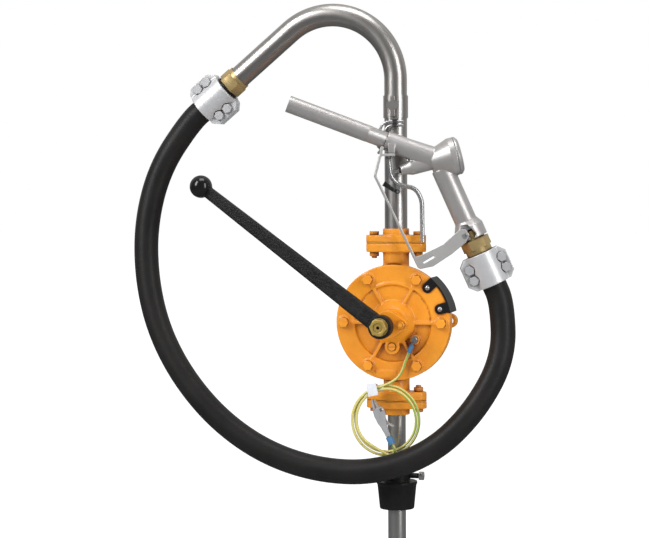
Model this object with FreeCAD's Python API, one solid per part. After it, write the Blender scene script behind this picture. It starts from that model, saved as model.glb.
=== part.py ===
import FreeCAD, Part
import math
import os

# Rotary (semi-rotary wing) hand pump for drums, with gooseneck outlet, hose and nozzle.
# Millimetres, +Z up, +X to the right of someone who faces the pump, -Y towards them.
# The origin is the centre of the bung adapter's top rim, on the axis of the suction tube.
# The pump and what it carries are drawn about the pump's own shaft and lifted by PUMP_Z.

V = FreeCAD.Vector
UP = V(0, 0, 1)
DEPTH = V(0, 1, 0)

# ---------------------------------------------------------------- driving dimensions
PUMP_Z = 239.0              # pump shaft above the bung's top rim, at rest
FIT = 0.05                  # radial gap of a running, screwed or pushed fit
SEAT = 0.3                  # gap between a soft or loose piece and its seat

# casing and cover, which are round about the shaft (along Y)
RIM_R = 86.0
RIM_FRONT_Y = -26.0
RIM_FACE_W = 27.5           # flat rim of the cover, in to its pockets
RIM_OVERHANG = 15.0         # rim beyond the casing's barrel
COVER_BACK_Y = -17.0
GASKET_T = 1.0
CASING_RIM_T = 11.0
BARREL_BACK_Y = 30.0
BARREL_WALL = 9.0
BACK_WALL = 8.0
POCKET_FLOOR_Y = -21.5
POCKET_SLOPE = 2.0
UPPER_PANEL_Y = -24.0
ARCH_HALF_W = 28.0
ARCH_RIB_W = 4.0
ARCH_RIB_OUT = 1.5
HUB_FOOT_R = 36.0
HUB_WAIST_R = 33.0
HUB_TOP_R = 25.0
HUB_STEP = 4.0
COVER_RIB_W = 5.0
COVER_RIB_Y = -27.2
COVER_BOSS_R = 9.0
COVER_BOSS_Y = -29.5
COVER_BOLT_INSET = 12.5      # bolt circle in from the rim's edge
COVER_BOLT_COUNT = 6
M8_R = 4.0
M8_CLEAR_R = 4.5
M8_HEX = 13.0
M8_HEAD_H = 5.5
M8_NUT_H = 6.5

# ports and flanges, which are stacked along Z above and below the casing
NECK_R = 19.5
NECK_ROOT_W = 5.0
NECK_ROOT_H = 12.0
NECK_ROOT_Y = 4.0
NECK_RISE = 46.5            # flange face above the casing's barrel
PORT_R = 14.0
FLANGE_T = 13.5
FLANGE_GASKET_T = 1.0
MATING_FLANGE_T = 10.7
MATING_BOSS_H = 9.8
FLANGE_MID_R = 24.0
FLANGE_EAR_R = 12.2
FLANGE_BOLT_X = 33.3

# shaft, seals and gland
SHAFT_R = 8.0
SHAFT_BACK_Y = 33.0
BUSH_WALL = 4.0
REAR_BOSS_R = 20.0
REAR_BOSS_END_Y = 38.0
FRONT_BUSH_END_Y = -36.0
STUFFING_R = 21.0
STUFFING_END_Y = -58.0
PACKING_R = 14.0
PACKING_END_Y = -50.0
GLAND_GAP = 1.5
GLAND_T = 6.5
GLAND_NOSE_END_Y = -50.3
GLAND_STUD_X = 21.0
GLAND_EAR_R = 8.0
M6_R = 3.0
M6_HEX = 10.0
M6_NUT_H = 5.0

# lever and its nut
LEVER_ANGLE = 53.0          # left of upright, at rest
LEVER_LENGTH = 337.0
LEVER_Y = -109.0
LEVER_BOSS_R = 17.3
LEVER_BOSS_T = 20.0
LEVER_ARM_T = 12.0
LEVER_ROOT_W = 26.0
LEVER_TIP_W = 17.0
BALL_R = 16.6
LEVER_BOSS_EDGE = 1.5
LEVER_ARM_EDGE = 3.5
SPINDLE_R = 7.0
SPINDLE_CENTRE_R = 2.4
SPINDLE_CENTRE_DEPTH = 6.0
LEVER_WASHER_T = 1.6
LEVER_WASHER_R = 13.0
LEVER_NUT_HEX = 22.0
LEVER_NUT_H = 10.0

# wing, bridge and their flap valves, inside the chamber
WING_HUB_R = 15.0
BLADE_T = 7.0
BLADE_GAP = 0.4
WING_END_GAP = 0.3
BRIDGE_HALF_ANGLE = 15.0
BRIDGE_WALL = 4.5
BRIDGE_END_GAP = 0.1
FLAP_T = 2.5
FLAP_W = 26.0
FLAP_HINGE_R = 25.0
FLAP_TIP_R = 51.0
FLAP_BARREL_R = 2.2
FLAP_BARREL_W = 18.0
FLAP_PIN_R = 1.2
FLAP_LIFT = 0.1
FLAP_LUG_R = 2.4
FLAP_ARM = (3.2, 6.0)       # the arm's plate starts and its own end, out from the hinge
FLAP_PORT = (30.0, 46.0)    # the valve window's inner and outer radius
FLAP_PORT_W = 18.0
FLAP_LUG_W = 4.0

# plug, earth boss and bare pad on the cover
PLUG_X = -0.4
PLUG_Z = -35.5
PLUG_R = 5.4
PLUG_BOSS_R = 11.4
PLUG_BOSS_Y = -30.0
PLUG_SLOT = (12.0, 1.6, 0.8)    # length, width and depth
EARTH_BOSS_R = 7.5
EARTH_BOSS_Y = -28.5
PAD_SIZE = (31.0, 11.0)
PAD_CENTRE = (-10.0, -77.0)
PAD_PROUD = 1.2

# rear feet
FOOT_OUTSET = 5.0           # foot's hole beyond the casing's barrel
FOOT_WEB_IN = 28.0
FOOT_R = 11.0
FOOT_FRONT_Y = 26.0
FOOT_FACE_Y = 38.0
FOOT_HOLE_R = 5.25

# pipes
OUTLET_PIPE_R = 16.85       # 1 inch pipe
OUTLET_PIPE_WALL = 2.6
OUTLET_RISE_Z = 359.5
OUTLET_BEND_R = 98.0
OUTLET_BEND_ANGLE = 130.0
OUTLET_TAIL = 104.0
PIPE_SOCKET_DEPTH = 18.0
SUCTION_R = 13.45           # 3/4 inch tube
SUCTION_WALL = 2.3
SUCTION_BELOW_BUNG = 850.0
SUCTION_NOTCH_R = 6.0

# bung adapter and its clamp screw
BUNG_RIM_R = 30.5
BUNG_RIM_T = 4.0
BUNG_TOP_R = 29.4
BUNG_FOOT_R = 25.75
BUNG_DEPTH = 41.0
COLLAR_R = 20.0
COLLAR_H = 20.0
BUNG_BORE_GAP = 0.3
SEAL_Z = 15.5
SEAL_H = 3.0
SEAL_R = 16.5
CLAMP_SCREW_Z = 8.5
CLAMP_SCREW_R = 4.0
CLAMP_KNOB_X = 34.0
CLAMP_KNOB_R = 6.4
CLAMP_KNOB_T = 7.0

# rim guard
GUARD_ANGLES = (10.0, 50.0)
GUARD_TABS = (16.4, 44.8)
GUARD_T = 2.0
GUARD_FRONT_Y = -28.0
GUARD_BACK_Y = 25.0
GUARD_TAB_W = 15.5
GUARD_SCREW_INSET = 12.0
GUARD_SCREW_HEAD_R = 3.6
GUARD_DOME_R = 4.4
GUARD_DOME_IN = 2.4
M5_R = 2.5
M3_R = 1.5

# hose, hose tails and hose clamps
HOSE_R = 18.5
HOSE_BORE_R = 12.6
TAIL_BORE_R = 9.5
COLLAR_RING_R = 18.6
BARB_SHORT = 5.0            # barb's end inside the clamp's end
SPIGOT_LEN = 12.0
UPPER_COLLAR = (0.0, 5.5)
UPPER_HEX_LEN = 17.0
UPPER_HEX = 36.0
CLAMP_LEN = 50.0
CLAMP_W = 72.0
CLAMP_EAR_T = 10.0
CLAMP_SHELL = 6.5
CLAMP_SPLIT = 1.6
CLAMP_BOLT_PITCH = 16.5
CLAMP_BOLT_X = 26.0
CLAMP_CHAMFER = 9.0
CLAMP_TO_HEX = 4.0
CLAMP_SPOT_R = 8.0

# nozzle, drawn in its own upright plane: X along it, Z up, its plane turned by NOZZLE_YAW
NOZZLE_YAW = 15.0
NOZZLE_Y = -38.0
SPOUT_TIP = (-149.8, 323.5)
SPOUT_ROOT = (-6.7, 269.2)
SPOUT_R = 12.5
SPOUT_BORE_R = 10.8
SPOUT_FREE = 125.0          # the stretch of full size, before the part that is pushed in
SPOUT_SHANK_R = 12.2
SPOUT_DEPTH = 19.0
SOCKET_R = 14.5
SOCKET_LEN = 32.0
BARREL_LEN = 60.0
BARREL_END_R = 17.5
HEAD_START = 38.0           # head's cone, back from the cap's seam
HEAD_R = 17.0
DRUM_LEN = 8.2
CAP_RECESS = 12.0
VALVE_ROOM_R = 13.0
VALVE_CENTRE = (96.4, 246.2)
VALVE_TILT = 14.2
CAP_R = 28.0
CAP_T = 7.0
GUIDE_R = 11.5
GUIDE_TIP_R = 6.5
GUIDE_TAPER = 16.0
GRIP_TOP = (83.0, 212.0)
GRIP_TILT = 66.0            # below horizontal
GRIP_R = 16.6
INLET_R = 22.0
INLET_START = 68.0
INLET_END = 95.0
INLET_FLARE = 10.0
INLET_BORE_R = 15.55
GRIP_BORE_R = 10.0
NOZZLE_NECK_LEN = 2.5
NOZZLE_HEX_LEN = 14.0
NOZZLE_HEX = 38.0
NOZZLE_COLLAR_LEN = 7.0
NOZZLE_COLLAR_R = 19.4
TRIGGER_PIVOT = (-2.8, 244.5)
TRIGGER_R = 3.3
TRIGGER_PIN_R = 2.2
TRIGGER_EYE_R = 5.2
TRIGGER_EYE_HALF = 3.4
TRIGGER_EAR_HALF = 7.5
TRIGGER_EAR_H = 10.0
STEM_R = 2.5
STRIP_T = 3.6
STRIP_W = 17.0
STRIP_FRONT = -18.6
LATCH_PIN = (10.3, 193.9)
LATCH_WEB = [(8.0, 206.0), (14.0, 203.0), (13.0, 192.0), (8.0, 191.5)]
LATCH_WEB_HALF = 1.4
LATCH_CHEEK = [(10.3, 190.4), (9.0, 197.6), (-3.0, 204.5), (-6.0, 199.5)]
LATCH_CHEEKS_Y = (1.6, 3.4)
LATCH_EYE_R = 3.6
LATCH_PAD = [(3.5, 193.5), (6.0, 198.2), (-8.0, 209.5), (-12.2, 203.0)]
LATCH_PAD_HALF = 6.0
LATCH_FORK = [(2.0, 190.0), (20.0, 190.0), (20.0, 206.0), (5.0, 206.0)]
TRIGGER_ROUTE = [(-0.5, 217.0), (11.5, 203.5), (36.5, 199.0), (46.0, 182.0), (46.8, 119.5)]
STEM_GAP = 0.55             # between the stem's tip and the trigger's bar
VALVE_DISC_R = 11.0
VALVE_DISC_BACK = 20.0
SPRING_R = (9.5, 6.5)
STEM_SEAL_R = 4.6
STEM_SEAL_LEN = 2.6
GUIDE_TIP = 84.0            # valve guide's tip, back from the cap's seam
CAP_THREAD_WALL = 5.0
CAP_BORE_WALL = 9.0
CAP_FLOOR = 2.0             # bottom of the cap's bore beyond its seam
STRIP_POINTS = [(-15.7, 246.0), (-23.0, 216.9), (40.8, 82.9)]
GUARD_PLATE = [(39.2, 82.0), (42.5, 80.5), (61.5, 84.5), (89.0, 102.5), (109.0, 119.0), (114.5, 130.0),
               (109.0, 138.5), (99.5, 138.0), (76.0, 116.5), (44.0, 101.0), (33.0, 98.0)]
GUARD_SLOT = [(46.5, 90.5), (48.0, 88.5), (63.5, 97.5), (62.0, 99.8)]
GUARD_HORN = [(-17.6, 245.0), (-13.8, 245.0), (-10.4, 259.5), (-14.2, 260.5)]
GUARD_HORN_T = 3.7
GUARD_ROOM = [(86, 98), (116, 114), (124, 132), (112, 145), (90, 142)]
TAB_X = (-16.5, 6.0)
TAB_TOP = 249.6
TAB_BACK = -9.0
TAB_LUG_X = (-4.0, 6.0)
TAB_LUG_H = 14.4
SCREW_PLACE = (107.8, 128.9)
SCREW_LUG_R = 8.5

# nozzle holder on the outlet pipe
HOLDER_Z = (303.0, 336.0)
HOLDER_BAND_T = 1.5
HOLDER_LUG_OUT = 7.0
HOLDER_LUG_HALF = 3.0
HOLDER_EAR_H = 11.0
HOLDER_WIRE_R = 2.0
HOOK_OUT = 5.3              # wires in front of the pipe's skin
HOOK_WIRES = ((291.5, 0.0), (297.0, 5.5))
BLOCK_X = (0.0, 7.5)
BLOCK_Z = (288.0, 301.0)
BLOCK_DEPTH = (3.0, 7.6)
TONGUE_X = (-4.0, 7.0)
TONGUE_T = 2.2
TONGUE_Z = 286.0
HOOK_RIGHT = 16.0
HOOK_LEFT = -8.0            # where the wires bend down, and how they fall
HOOK_FALL = (8.0, 16.0)
HOOK_FOOT = (-17.0, 256.0)
HOOK_CROSS = (-22.5, 261.5)
HOOK_TOE = (-19.0, -10.0, 251.0)

# hose route: out of the upper clamp, down the left, under the pump, up to the nozzle
HOSE_STRAIGHT = 80.5
HOSE_ROUTE = [(-366, -8, 232), (-386, -18, 150), (-383, -28, 66), (-361, -38, -15), (-318, -47, -88),
              (-258, -53, -151), (-185, -57, -196), (-103, -58, -219), (-18, -58, -219), (64, -46, -188),
              (124, -26, -127), (163, -7, -50)]

# earth cable
CABLE_R = 2.0
TERMINAL_T = 1.0
TERMINAL_R = 5.4
TERMINAL_LIFT = 2.3
TERMINAL_BARREL_R = 1.9
TERMINAL_BARREL = (4.8, 12.0)
EARTH_HEX = 8.0
EARTH_HEAD_H = 4.5
SLEEVE_LEAN = 5.5
SLEEVE_DROP = 12.5
SLEEVE_R = 3.4
SLEEVE_REACH = (8.0, 20.5)
LEAD_START = 13.5
LEAD_STRAIGHT = 31.0
LEAD_ROUTE = [(15.0, -34.0, -77.0), (-3.0, -40.0, -93.0), (-18.0, -41.5, -97.5)]
TAG_ANGLE = 111.0
TAG_SIZE = (15.0, 18.0)
TAG_T = 1.5
TAG_BAND_T = 2.2
TAG_BAND_HALF = 3.5
TAG_LEAN = 12.0
COIL_CENTRE = (-9.8, -143.6)
COIL_Y = -38.5
COIL_R = 46.0
COIL_SECTION_R = 5.5
COIL_TURNS = 2.4
EARTH_SCREW = (33.4, -24.5)
CLIP_PIVOT = (-10.0, -146.0)
CLIP_Y = -50.0
CLIP_TILT = 25.0
CLIP_W = 9.0
CLIP_SHANK_END = -22.0
CLIP_SLEEVE_END = -34.0
CLIP_SLEEVE_R = 5.0
TAIL_IN = 5.0               # cable inside the sleeve, out to its bend, and on to the coil
TAIL_OUT = 2.0
TAIL_END = 11.5
CLIP_CRIMP_X = -0.8
CLIP_PIN_R = 1.5
CLIP_SHEET_T = 1.4
CLIP_JAW = [(-4.5, -6), (-6.5, 4), (-6.5, 18), (-1.2, 38), (1.2, 38), (0.0, 30), (-1.6, 22), (-2.2, 6), (-2.2, -6)]
CLIP_CHEEK = [(-4.5, -10), (-5.5, 6), (3.2, 4), (3.8, -4), (1.8, -10)]
CLIP_SHANK = [(-3.2, CLIP_SHANK_END), (-4.5, -9), (1.8, -9), (1.6, CLIP_SHANK_END)]
CLIP_MOVING = [(-1.4, -2.2), (4.6, -4.0), (12.0, -12.0), (13.4, -10.6), (6.2, 0.0), (7.0, 16.0), (2.2, 37.5),
               (0.9, 30), (2.6, 22), (2.8, 8), (-1.6, 2.2)]

# ---------------------------------------------------------------- worked-out places
BARREL_R = RIM_R - RIM_OVERHANG
CHAMBER_R = BARREL_R - BARREL_WALL
CHAMBER_BACK_Y = BARREL_BACK_Y - BACK_WALL
CHAMBER_MID_Y = (CHAMBER_BACK_Y + COVER_BACK_Y) / 2
RIM_RING_R = RIM_R - RIM_FACE_W
COVER_BOLT_PCR = RIM_R - COVER_BOLT_INSET
GUARD_SCREW_PCR = RIM_R - GUARD_SCREW_INSET
FOOT_X = BARREL_R + FOOT_OUTSET
FLANGE_FACE_Z = BARREL_R + NECK_RISE
CASING_FRONT_Y = COVER_BACK_Y + GASKET_T
CASING_RIM_BACK_Y = CASING_FRONT_Y + CASING_RIM_T
MATING_FACE_Z = FLANGE_FACE_Z + FLANGE_GASKET_T
MATING_BACK_Z = MATING_FACE_Z + MATING_FLANGE_T
BOSS_TOP_Z = MATING_BACK_Z + MATING_BOSS_H
BUSH_R = SHAFT_R + BUSH_WALL
BORE_R = SHAFT_R + FIT
GLAND_BACK_Y = STUFFING_END_Y - GLAND_GAP
GLAND_FRONT_Y = GLAND_BACK_Y - GLAND_T
LEVER_BACK_Y = LEVER_Y + LEVER_BOSS_T / 2
LEVER_FRONT_Y = LEVER_Y - LEVER_BOSS_T / 2
NUT_BACK_Y = LEVER_FRONT_Y - LEVER_WASHER_T
NUT_FRONT_Y = NUT_BACK_Y - LEVER_NUT_H
BLADE_TIP_R = CHAMBER_R - BLADE_GAP
BLADE_FACE = BLADE_T / 2
BLADE_HINGE = BLADE_FACE + FIT + FLAP_BARREL_R + FLAP_LIFT
BRIDGE_HINGE = BLADE_HINGE - BLADE_FACE
WING_ANGLES = {"right": LEVER_ANGLE, "left": LEVER_ANGLE + 180.0}
BRIDGE_TURN = {"right": -90.0 + BRIDGE_HALF_ANGLE, "left": -90.0 - BRIDGE_HALF_ANGLE}
TERMINAL_BARREL_Y = EARTH_BOSS_Y - TERMINAL_LIFT
UPPER_CLAMP_START = UPPER_COLLAR[1] + UPPER_HEX_LEN + CLAMP_TO_HEX
UPPER_HOSE_START = UPPER_COLLAR[1] + UPPER_HEX_LEN + 1.0
LOWER_HOSE_START = INLET_END + NOZZLE_NECK_LEN + NOZZLE_HEX_LEN + NOZZLE_COLLAR_LEN + SEAT
LOWER_CLAMP_START = LOWER_HOSE_START + 0.5
HOOK_Y = -OUTLET_PIPE_R - HOOK_OUT
SLEEVE_WAY = V(-SLEEVE_LEAN, 0, -SLEEVE_DROP).normalize()


# ---------------------------------------------------------------- shape helpers
def rod(radius, start, end):
    """Cylinder between two points."""
    return Part.makeCylinder(radius, (end - start).Length, start, end - start)


def rod_y(radius, y0, y1, x=0.0, z=0.0):
    """Cylinder along Y."""
    return rod(radius, V(x, y0, z), V(x, y1, z))


def rod_z(radius, z0, z1, x=0.0, y=0.0):
    """Cylinder along Z."""
    return rod(radius, V(x, y, z0), V(x, y, z1))


def ring_y(outer, inner, y0, y1, x=0.0, z=0.0):
    """Washer or sleeve along Y."""
    return rod_y(outer, y0, y1, x, z).cut(rod_y(inner, y0 - 1, y1 + 1, x, z))


def ring_z(outer, inner, z0, z1):
    """Washer or sleeve along Z."""
    return rod_z(outer, z0, z1).cut(rod_z(inner, z0 - 1, z1 + 1))


def box(x0, x1, y0, y1, z0, z1):
    """Block between its lowest and highest corner."""
    return Part.makeBox(x1 - x0, y1 - y0, z1 - z0, V(x0, y0, z0))


def slab(outline, y0, y1):
    """Outline of (x, z) points made into a plate from y0 to y1."""
    points = [V(x, y0, z) for x, z in outline]
    face = Part.Face(Part.makePolygon(points + points[:1]))
    return face.extrude(V(0, y1 - y0, 0))


def turned(profile, origin=V(0, 0, 0), axis=DEPTH):
    """Profile of (radius, distance along the axis) points turned about that axis."""
    points = [V(radius, 0, along) for radius, along in profile]
    solid = Part.Face(Part.makePolygon(points + points[:1])).revolve(V(0, 0, 0), UP, 360)
    solid.Placement = FreeCAD.Placement(origin, FreeCAD.Rotation(UP, axis))
    return solid


def hex_bar(across, start, end, roll=0.0):
    """Hexagonal bar between two points, across its flats."""
    corner = across / math.sqrt(3)
    points = []
    for side in range(6):
        angle = math.radians(60 * side + roll)
        points.append(V(corner * math.cos(angle), corner * math.sin(angle), 0))
    solid = Part.Face(Part.makePolygon(points + points[:1])).extrude(V(0, 0, (end - start).Length))
    solid.Placement = FreeCAD.Placement(start, FreeCAD.Rotation(UP, end - start))
    return solid


def joined(shapes):
    """One solid from overlapping ones."""
    return shapes[0].fuse(shapes[1:]).removeSplitter()


def without(shape, tools):
    """The shape with several others cut away."""
    return shape.cut(tools)


def turn_y(shape, degrees, x=0.0, z=0.0):
    """Copy turned about a line along Y; positive is anticlockwise for the viewer."""
    result = shape.copy()
    result.rotate(V(x, 0, z), DEPTH, -degrees)
    return result


def polar(radius, degrees, x=0.0, z=0.0):
    """Point (x, z) at a radius and an angle above +X."""
    angle = math.radians(degrees)
    return x + radius * math.cos(angle), z + radius * math.sin(angle)


def tangent_outline(mid_r, ear_r, reach):
    """Outline that wraps a middle circle and two ear circles at +-reach, as 2-D points."""
    lean = math.acos((mid_r - ear_r) / reach)
    mid = (mid_r * math.cos(lean), mid_r * math.sin(lean))
    ear = (reach + ear_r * math.cos(lean), ear_r * math.sin(lean))
    half = [mid, ear, (ear[0], -ear[1]), (mid[0], -mid[1])]
    return half + [(-x, -y) for x, y in half]


def oval_flange(z0, z1):
    """Two-eared flange plate, flat in Z, with its bolt ears along X."""
    outline = tangent_outline(FLANGE_MID_R, FLANGE_EAR_R, FLANGE_BOLT_X)
    points = [V(x, y, z0) for x, y in outline]
    web = Part.Face(Part.makePolygon(points + points[:1])).extrude(V(0, 0, z1 - z0))
    ears = [rod_z(FLANGE_EAR_R, z0, z1, side * FLANGE_BOLT_X) for side in (-1, 1)]
    return joined([rod_z(FLANGE_MID_R, z0, z1), web] + ears)


def flange_holes(z0, z1):
    """Drills for the two flange bolts."""
    return [rod_z(M8_CLEAR_R, z0 - 1, z1 + 1, side * FLANGE_BOLT_X) for side in (-1, 1)]


def rounded(shape, radius, keep=lambda edge: True):
    """Shape with its chosen edges rounded, or as it was where that fails."""
    edges = [edge for edge in shape.Edges if keep(edge)]
    if not edges:
        return shape
    try:
        result = shape.makeFillet(radius, edges)
    except Part.OCCError:
        return shape
    return result if result.isValid() and result.Solids else shape


def route_wire(points):
    """Straight runs joined by tangent arcs, and the arcs' radii."""
    share = 0.45
    edges = []
    radii = []
    last = points[0]
    for before, corner, after in zip(points, points[1:], points[2:]):
        into = (before - corner).normalize()
        onward = (after - corner).normalize()
        half_turn = (math.pi - into.getAngle(onward)) / 2
        reach = share * min((before - corner).Length, (after - corner).Length)
        radius = reach / math.tan(half_turn)
        centre_way = (into + onward).normalize()
        sagitta = radius / math.cos(half_turn) - radius
        start = corner + into * reach
        end = corner + onward * reach
        edges.append(Part.LineSegment(last, start).toShape())
        edges.append(Part.Arc(start, corner + centre_way * sagitta, end).toShape())
        radii.append(radius)
        last = end
    edges.append(Part.LineSegment(last, points[-1]).toShape())
    return Part.Wire(edges), radii


def sweep(wire, radius):
    """Round bar along a wire."""
    start = wire.Vertexes[0].Point
    tangent = wire.Edges[0].tangentAt(wire.Edges[0].FirstParameter)
    circle = Part.Wire(Part.makeCircle(radius, start, tangent))
    return Part.Solid(wire.makePipeShell([circle], True, False))


def cord(name, points, radius, bore=0.0):
    """Cord along a hand-set route; prints its length, its bends and its volume."""
    wire, radii = route_wire(points)
    solid = sweep(wire, radius)
    section = math.pi * (radius ** 2 - bore ** 2)
    if bore:
        solid = solid.cut(sweep(wire, bore))
    ideal = section * wire.Length
    bends = ", ".join("%.0f" % bend for bend in radii)
    print("%s: length %.1f, bend radii %s, volume %.4f of section x length"
          % (name, wire.Length, bends, solid.Volume / ideal))
    return solid


def in_nozzle(shape):
    """Place a shape drawn in the nozzle's own plane."""
    result = shape.copy()
    result.Placement = FreeCAD.Placement(
        V(0, NOZZLE_Y, 0), FreeCAD.Rotation(UP, NOZZLE_YAW)).multiply(result.Placement)
    return result


def nozzle_point(x, z, depth=0.0):
    """Point of the nozzle's plane in the pump's frame."""
    return FreeCAD.Rotation(UP, NOZZLE_YAW).multVec(V(x, depth, z)) + V(0, NOZZLE_Y, 0)


# ---------------------------------------------------------------- casing and ports
def neck_with_flange(side):
    """Port neck and its flange above (side 1) or below (side -1) the casing."""
    neck = rod_z(NECK_R, CHAMBER_R, FLANGE_FACE_Z - 1)
    root = Part.makeCone(NECK_R + NECK_ROOT_W, NECK_R, NECK_ROOT_H, V(0, NECK_ROOT_Y, BARREL_R - 3), UP)
    flange = oval_flange(FLANGE_FACE_Z - FLANGE_T, FLANGE_FACE_Z)
    part = joined([neck, root, flange])
    holes = [rod_z(PORT_R, CHAMBER_R - BARREL_WALL, FLANGE_FACE_Z + 1)]
    holes += flange_holes(FLANGE_FACE_Z - FLANGE_T, FLANGE_FACE_Z)
    part = without(part, holes)
    if side < 0:
        part = part.mirror(V(0, 0, 0), UP)
    return part


def foot(side):
    """Rear wall foot at the left (side -1) or right (side 1)."""
    pad = rod_y(FOOT_R, FOOT_FRONT_Y, FOOT_FACE_Y, side * FOOT_X)
    x0, x1 = sorted((side * FOOT_X, side * (FOOT_X - FOOT_WEB_IN)))
    return [pad, box(x0, x1, FOOT_FRONT_Y, FOOT_FACE_Y, -FOOT_R, FOOT_R)]


def pump_casing():
    barrel = turned([(0, BARREL_BACK_Y), (BARREL_R, BARREL_BACK_Y), (BARREL_R, CASING_RIM_BACK_Y),
                     (RIM_R, CASING_RIM_BACK_Y), (RIM_R, CASING_FRONT_Y), (0, CASING_FRONT_Y)])
    rear_boss = rod_y(REAR_BOSS_R, BARREL_BACK_Y - 2, REAR_BOSS_END_Y)
    necks = [neck_with_flange(1), neck_with_flange(-1)]
    body = joined([barrel, rear_boss] + necks + foot(-1) + foot(1))
    cuts = [rod_y(CHAMBER_R, CASING_FRONT_Y - 1, CHAMBER_BACK_Y),
            rod_y(RIM_R + SEAT, CASING_FRONT_Y - BARREL_WALL, CASING_FRONT_Y),
            rod_y(BUSH_R + FIT, CHAMBER_BACK_Y - 1, SHAFT_BACK_Y + 1)]
    cuts += [rod_z(PORT_R, CHAMBER_R - BARREL_WALL, FLANGE_FACE_Z + 1),
             rod_z(PORT_R, -FLANGE_FACE_Z - 1, BARREL_WALL - CHAMBER_R)]
    cuts += [rod_y(FOOT_HOLE_R, FOOT_FRONT_Y - 1, FOOT_FACE_Y + 1, side * FOOT_X) for side in (-1, 1)]
    cuts += bolt_circle(M8_R + FIT, CASING_FRONT_Y - 1, CASING_RIM_BACK_Y + 1)
    return without(body, cuts)


def bolt_angles():
    return [360.0 * n / COVER_BOLT_COUNT for n in range(COVER_BOLT_COUNT)]


def bolt_circle(radius, y0, y1):
    """Cylinders on the cover's bolt circle."""
    return [rod_y(radius, y0, y1, *polar(COVER_BOLT_PCR, angle)) for angle in bolt_angles()]


def cover_gasket():
    ring = ring_y(RIM_R - SEAT, CHAMBER_R + SEAT, COVER_BACK_Y, CASING_FRONT_Y)
    return without(ring, bolt_circle(M8_CLEAR_R, COVER_BACK_Y - 1, CASING_FRONT_Y + 1))


# ---------------------------------------------------------------- front cover
def cover_rib(angle):
    """Cast rib from the hub out to a bolt boss."""
    inner, outer = STUFFING_R - 3, COVER_BOLT_PCR - M8_R
    half = COVER_RIB_W / 2
    plate = slab([(inner, -half), (outer, -half), (outer, half), (inner, half)],
                 COVER_RIB_Y, COVER_BACK_Y - 1)
    return turn_y(plate, angle)


def front_cover():
    plate = turned([(0, COVER_BACK_Y), (RIM_R, COVER_BACK_Y), (RIM_R, RIM_FRONT_Y),
                    (RIM_RING_R, RIM_FRONT_Y), (RIM_RING_R - POCKET_SLOPE, POCKET_FLOOR_Y), (0, POCKET_FLOOR_Y)])
    upper = rod_y(RIM_RING_R - POCKET_SLOPE - 1, UPPER_PANEL_Y, COVER_BACK_Y)
    upper = upper.common(box(-RIM_R, RIM_R, UPPER_PANEL_Y - 1, COVER_BACK_Y + 1, 0, RIM_R))
    arch_r = RIM_RING_R + ARCH_RIB_OUT
    arch = ring_y(arch_r, arch_r - ARCH_RIB_W, COVER_RIB_Y, UPPER_PANEL_Y)
    arch = arch.common(box(-ARCH_HALF_W, ARCH_HALF_W, COVER_RIB_Y - 1, COVER_BACK_Y, 0, RIM_R))
    hub = turned([(0, COVER_BACK_Y), (HUB_FOOT_R, COVER_BACK_Y), (HUB_WAIST_R, POCKET_FLOOR_Y - HUB_STEP),
                  (HUB_TOP_R, FRONT_BUSH_END_Y), (STUFFING_R, FRONT_BUSH_END_Y - HUB_STEP),
                  (STUFFING_R, STUFFING_END_Y), (0, STUFFING_END_Y)])
    ears = gland_oval(STUFFING_END_Y, STUFFING_END_Y + GLAND_EAR_R)
    bosses = bolt_circle(COVER_BOSS_R, COVER_BOSS_Y, COVER_BACK_Y - 1)
    plug_boss = rod_y(PLUG_BOSS_R, PLUG_BOSS_Y, COVER_BACK_Y - 1, PLUG_X, PLUG_Z)
    earth_boss = rod_y(EARTH_BOSS_R, EARTH_BOSS_Y, COVER_BACK_Y - 1, *EARTH_SCREW)
    pad = box(PAD_CENTRE[0] - PAD_SIZE[0] / 2, PAD_CENTRE[0] + PAD_SIZE[0] / 2, RIM_FRONT_Y - PAD_PROUD,
              RIM_FRONT_Y + 1, PAD_CENTRE[1] - PAD_SIZE[1] / 2, PAD_CENTRE[1] + PAD_SIZE[1] / 2)
    pad = pad.common(rod_y(RIM_R - 1, RIM_FRONT_Y - PAD_PROUD, RIM_FRONT_Y + 1))
    ribs = [cover_rib(angle) for angle in bolt_angles()]
    body = joined([plate, upper, arch, hub, ears, plug_boss, earth_boss, pad] + bosses + ribs)
    cuts = [rod_y(BUSH_R + FIT, FRONT_BUSH_END_Y, COVER_BACK_Y + 1),
            rod_y(PACKING_R + FIT, STUFFING_END_Y - 1, FRONT_BUSH_END_Y),
            rod_y(PLUG_R + FIT, PLUG_BOSS_Y - 1, COVER_BACK_Y + 1, PLUG_X, PLUG_Z),
            rod_y(M5_R + FIT, EARTH_BOSS_Y - 1, COVER_BACK_Y - 2, *EARTH_SCREW)]
    cuts += bolt_circle(M8_CLEAR_R, COVER_BOSS_Y - 1, COVER_BACK_Y + 1)
    cuts += [rod_y(M5_R + FIT, RIM_FRONT_Y - 1, COVER_BACK_Y - 1.5, *polar(GUARD_SCREW_PCR, angle))
             for angle in GUARD_TABS]
    cuts += [rod_y(M6_R + FIT, STUFFING_END_Y - 1, STUFFING_END_Y + GLAND_EAR_R + 1, side * GLAND_STUD_X)
             for side in (-1, 1)]
    return without(body, cuts)


def gland_oval(y0, y1):
    """Two-eared plate about the shaft with its ears along X."""
    outline = tangent_outline(STUFFING_R - 1, GLAND_EAR_R, GLAND_STUD_X)
    ears = [rod_y(GLAND_EAR_R, y0, y1, side * GLAND_STUD_X) for side in (-1, 1)]
    return joined([rod_y(STUFFING_R - 1, y0, y1), slab(outline, y0, y1)] + ears)


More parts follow.
